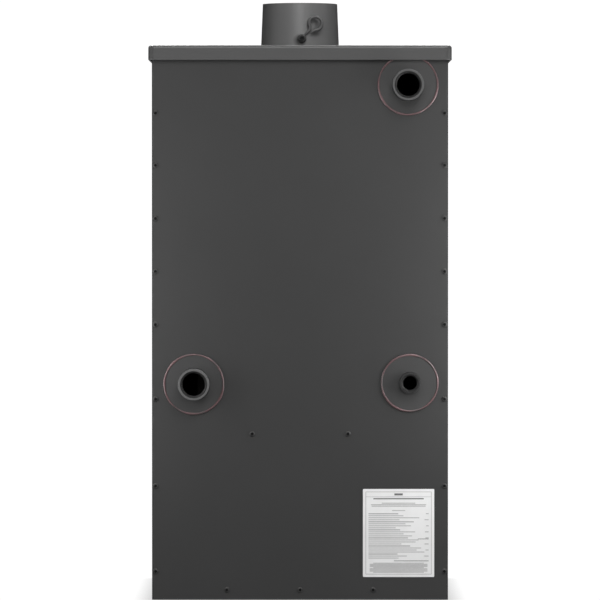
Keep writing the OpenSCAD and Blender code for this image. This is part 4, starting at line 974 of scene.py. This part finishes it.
def make_braided_rope():
    """Round braided rope pressed in the groove of the door's rear."""
    low, high, centre = box_of("door_rope")
    deep = (high.y - low.y) / 2
    wide = 0.006
    corner = 0.012
    right = high.x - wide - corner
    foot, head = low.z + wide + corner, high.z - wide - corner
    outline = []
    for x, z, start in ((right, head, 0), (-right, head, 90), (-right, foot, 180),
                        (right, foot, 270)):
        for k in range(7):
            angle = math.radians(start + 15 * k)
            outline.append(Vector((x + corner * math.cos(angle), centre.y,
                                   z + corner * math.sin(angle))))
    step = 0.0016
    path = []
    for i, point in enumerate(outline):
        after = outline[(i + 1) % len(outline)]
        pieces = max(1, round((after - point).length / step))
        path.extend(point.lerp(after, k / pieces) for k in range(pieces))
    sides = 16
    plait_length = 0.0085
    slack, swell = 0.86, 0.07
    plaits = round(len(path) * step / plait_length)
    rings = []
    for i, point in enumerate(path):
        heading = (path[(i + 1) % len(path)] - path[i - 1]).normalized()
        inward = Vector(REARWARD).cross(heading)
        phase = FULL_TURN * plaits * i / len(path)
        ring = []
        for k in range(sides):
            angle = FULL_TURN * k / sides
            weave = abs(math.sin(2 * angle + phase)) + abs(math.sin(2 * angle - phase))
            puff = slack + swell * weave
            ring.append(point + inward * (wide * puff * math.cos(angle))
                        + Vector((0.0, deep * puff * math.sin(angle), 0.0)))
        rings.append(ring)
    rope = Shape()
    rope.loft(rings, closed=True)
    make_piece("braided_door_rope", rope, "rope", "fire_door", stands_for=("door_rope",))


def make_turned_grip():
    """The lever's wooden grip: a barrel with a bead and a groove at each end."""
    low, high, centre = box_of("handle_grip")
    length = high.x - low.x
    full = (high.z - low.z) / 2
    bore = 0.0062
    ends = [(bore, 0.0), (full * 0.72, 0.0), (full * 0.82, 0.0012), (full * 0.84, 0.004),
            (full * 0.76, 0.0052), (full * 0.76, 0.0066), (full * 0.86, 0.0078)]
    shoulder = 0.010
    steps = 12
    barrel = [(full * (0.88 + 0.12 * math.sin(math.pi * k / steps)),
               shoulder + (length - 2 * shoulder) * k / steps) for k in range(steps + 1)]
    profile = ends + barrel + [(radius, length - place) for radius, place in reversed(ends)]
    grip = Shape()
    grip.turned(profile, (low.x, centre.y, centre.z), (1.0, 0.0, 0.0), steps=40)
    make_piece("turned_lever_grip", grip, "wood", "door_handle",
               stands_for=("handle_grip",), corners=40.0)


def make_fluted_knob(name, node, body, foot_y, neck=0.0):
    """A moulded knob with grip flutes, a dished end and a waisted neck."""
    low, high, centre = box_of(node)
    foot = (centre.x, foot_y, centre.z)
    radius = (high.z - low.z) / 2
    end = foot_y - low.y
    length = end - neck
    knob = Shape()
    if neck:
        neck_radius = 0.004
        waist = neck_radius * 0.86
        knob.turned(((neck_radius, 0.0), (waist, neck * 0.5), (neck_radius, neck)), foot,
                    FORWARD, steps=32)
    knob.turned(((radius * 0.62, neck), (radius * 0.8, neck + 0.0008),
                 (radius * 0.93, neck + 0.0026, True),
                 (radius * 0.955, neck + length * 0.45, True),
                 (radius * 0.93, end - 0.0034, True), (radius * 0.84, end - 0.0012),
                 (radius * 0.7, end), (radius * 0.55, end - 0.0002),
                 (radius * 0.3, end - 0.0010), (0.0004, end - 0.0012)),
                foot, FORWARD, steps=96, lobes=16, lobe_share=0.045)
    rear = foot_y - high.y
    if rear < 0.0:
        bolt, collar = 0.0038, 0.0078
        knob.turned(((bolt, 0.0), (bolt, rear)), foot, FORWARD, steps=28)
        knob.turned(((collar, rear + 0.004), (collar, rear)), foot, FORWARD, steps=28)
    make_piece(name, knob, "resin", body, stands_for=(node,), corners=50.0)


def make_wood_drawer_handle():
    """A bent steel tube with a flat washer at each foot."""
    low, high, centre = box_of("wood_handle")
    radius = (high.z - low.z) / 2
    z = centre.z
    bar_y = low.y + radius
    half = high.x - radius
    bend = 0.016
    steps, spans = 8, 6
    straight = bend + 0.002
    curve = [(bend - bend * math.cos(angle), bar_y + bend - bend * math.sin(angle), z)
             for angle in (math.pi / 2 * k / steps for k in range(steps + 1))]
    leg = [(0.0, high.y, z), (0.0, bar_y + straight, z)] + curve
    bar = [(-half + straight + 2 * (half - straight) * k / spans, bar_y, z)
           for k in range(spans + 1)]
    path = ([(x - half, y, z) for x, y, z in leg] + bar
            + [(half - x, y, z) for x, y, z in reversed(leg)])
    handle = Shape()
    handle.swept(path, [radius * 0.97] * len(path), sides=24)
    for side in (-1, 1):
        handle.turned(((radius, 0.0), (radius * 1.55, 0.0), (radius * 1.6, 0.0004),
                       (radius * 1.5, 0.0012), (radius, 0.0014)),
                      (side * half, high.y, z), FORWARD, steps=32, caps=False)
    make_piece("bent_drawer_handle", handle, "bright", "wood_drawer",
               stands_for=("wood_handle",), corners=45.0)


make_braided_rope()
make_turned_grip()
make_fluted_knob("air_disc_knob", "air_knob", "air_disc", -0.2693)
make_fluted_knob("air_slide_fluted_knob", "air_slide_knob", "air_slide", -0.2623, neck=0.006)
make_wood_drawer_handle()


# Thermometer

def make_dial_marks():
    """Ticks and plain numbers 0 to 120, from the left over the top to the right."""
    low, high, middle = box_of("thermometer_dial")
    centre = Vector((0.0, low.y - 0.00005, middle.z))
    cup = (high.x - low.x) / 2
    ticks, long_every, tick_end = 24, 4, 0.92
    numbers, number_step, number_ring, number_lift = 6, 20, 0.58, 0.0012
    marks = Shape()
    for k in range(ticks + 1):
        angle = math.pi - math.pi * k / ticks
        inner, half = (0.84, 0.0002) if k % long_every else (0.76, 0.00035)
        along = Vector((math.cos(angle), 0.0, math.sin(angle))) * cup
        across = Vector((-math.sin(angle), 0.0, math.cos(angle))) * half
        root, tip = centre + along * inner, centre + along * tick_end
        marks.add([root - across, tip - across, tip + across, root + across], [(0, 1, 2, 3)])
    for k in range(numbers + 1):
        angle = math.pi - math.pi * k / numbers
        writing = bpy.data.curves.new("dial_number", "FONT")
        writing.body = str(number_step * k)
        writing.size = 0.0052
        writing.align_x = "CENTER"
        writing.align_y = "CENTER"
        writing.resolution_u = 3
        holder = bpy.data.objects.new("dial_number", writing)
        flat = holder.to_mesh()
        spot = centre + Vector((math.cos(angle), 0.0, math.sin(angle))) * cup * number_ring
        spot.z += number_lift
        points = [spot + Vector((v.co.x, 0.0, v.co.y)) for v in flat.vertices]
        marks.add(points, [tuple(p.vertices) for p in flat.polygons])
        holder.to_mesh_clear()
        bpy.data.objects.remove(holder)
        bpy.data.curves.remove(writing)
    make_piece("dial_marks", marks, "dial_ink", "stove", smooth=False)


def make_needle():
    """A tapered needle with a round tail and a domed hub."""
    low, high, centre = box_of("thermometer_needle")
    z = centre.z
    front = low.y
    thick, axle = 0.0008, 0.0007
    outline = [(low.x, 0.00012), (-0.003, 0.0012), (0.0035, 0.0008), (0.0046, 0.0013),
               (0.0052, 0.0)]
    edge = outline + [(x, -half) for x, half in reversed(outline[:-1])]
    hub = (high.z - low.z) / 2
    needle = Shape()
    needle.loft([[(x, y, z + half) for x, half in edge] for y in (front, front + thick)])
    needle.turned(((hub, -thick), (hub, 0.0004), (hub * 0.8, 0.0011), (hub * 0.4, 0.0014),
                   (0.0001, 0.0015)), (0.0, front, z), FORWARD, steps=28)
    needle.turned(((axle, 0.0), (axle, front - high.y)), (0.0, front, z), FORWARD, steps=16)
    make_piece("tapered_needle", needle, "needle", "thermometer_needle",
               stands_for=("thermometer_needle",), corners=40.0)


make_dial_marks()
make_needle()


# Studio

# Each soft light: where it hangs, where it points, its width and height, its power in watts
LIGHTS = {
    "rear_key": ((-0.6, 1.15, 1.95), (0.0, 0.26, 0.55), (0.6, 0.4), 8.0),
    "rear_panel_light": ((0.0, 1.95, 2.25), (0.0, 0.26, 0.9), (1.9, 1.7), 28.0),
    "rear_left_side": ((0.54, 0.4, 0.53), (0.1, 0.26, 0.58), (0.12, 0.58), 2.6),
    "rear_right_side": ((-0.54, 0.4, 0.53), (-0.1, 0.26, 0.58), (0.12, 0.58), 3.6),
    "rear_fill": ((0.12, 4.6, 1.6), (0.0, 0.2, 0.6), (1.6, 1.8), 7.0),
    "overhead": ((0.0, 0.5, 3.4), (0.0, 0.0, 0.9), (2.4, 1.6), 12.0),
    "front_key": ((0.75, -2.3, 2.9), (0.0, -0.2, 0.6), (1.0, 1.0), 46.0),
    "front_fill": ((-0.7, -2.3, 3.2), (0.0, 0.0, 0.5), (1.2, 1.2), 36.0),
}


def hang_lights():
    """Soft oblong lights round the stove and over it."""
    for name, (spot, target, size, power) in LIGHTS.items():
        lamp = bpy.data.lights.new(name, "AREA")
        lamp.shape = "RECTANGLE"
        lamp.size, lamp.size_y = size
        lamp.energy = power
        holder = bpy.data.objects.new(name, lamp)
        holder.location = spot
        way = Vector(target) - Vector(spot)
        holder.rotation_euler = way.to_track_quat("-Z", "Y").to_euler()
        scene.collection.objects.link(holder)


def make_sky():
    """A sky that the camera sees white, and that lights the stove dimly from three sides."""
    world = bpy.data.worlds.new("pale_studio")
    scene.world = world
    world.use_nodes = True
    world.node_tree.nodes.clear()
    sky = Wiring(world.node_tree)
    way = sky.node("SeparateXYZ", {0: sky.node("TexCoord").outputs["Generated"]}).outputs
    rearward, upward = way["Y"], way["Z"]
    behind = sky.spread(rearward, -0.08, 0.08, 0.01, 0.21)
    ahead = sky.times(sky.spread(rearward, -0.5, -0.1, 0.4, 0.0), sky.spread(upward, 0.2, 0.5))
    above = sky.times(sky.spread(rearward, 0.0, 0.3), sky.spread(upward, 0.42, 0.62, 0.0, 0.1))
    strength = sky.calc("ADD", sky.calc("ADD", behind, ahead), above)
    felt = sky.node("Background", {"Color": WHITE, "Strength": strength})
    shown = sky.node("Background", {"Color": WHITE, "Strength": 1.05})
    sky.node("OutputWorld", {"Surface": sky.by_camera(felt, shown)})


def make_floor():
    """A wide matt floor that the camera sees near white, with a soft shadow at the stove's foot."""
    reach = 40.0
    mesh = bpy.data.meshes.new("pale_floor")
    mesh.from_pydata([(-reach, -reach, 0.0), (reach, -reach, 0.0), (reach, reach, 0.0),
                      (-reach, reach, 0.0)], [], [(0, 1, 2, 3)])
    floor = bpy.data.objects.new("pale_floor", mesh)
    scene.collection.objects.link(floor)
    material = bpy.data.materials.new("pale_floor_paper")
    material.use_nodes = True
    material.node_tree.nodes.clear()
    paper = Wiring(material.node_tree)
    matt = paper.node("BsdfDiffuse", {"Color": (0.42, 0.42, 0.42, 1.0)})
    nearby = paper.node("AmbientOcclusion", {"Distance": 0.045}).outputs["AO"]
    shade = paper.spread(nearby, 0.5, 0.95, 0.66, 1.04)
    glow = paper.node("Emission", {"Color": WHITE, "Strength": shade})
    paper.node("OutputMaterial", {"Surface": paper.by_camera(matt, glow)})
    mesh.materials.append(material)


make_sky()
hang_lights()
make_floor()
scene.view_settings.view_transform = "Standard"
scene.view_settings.look = "None"
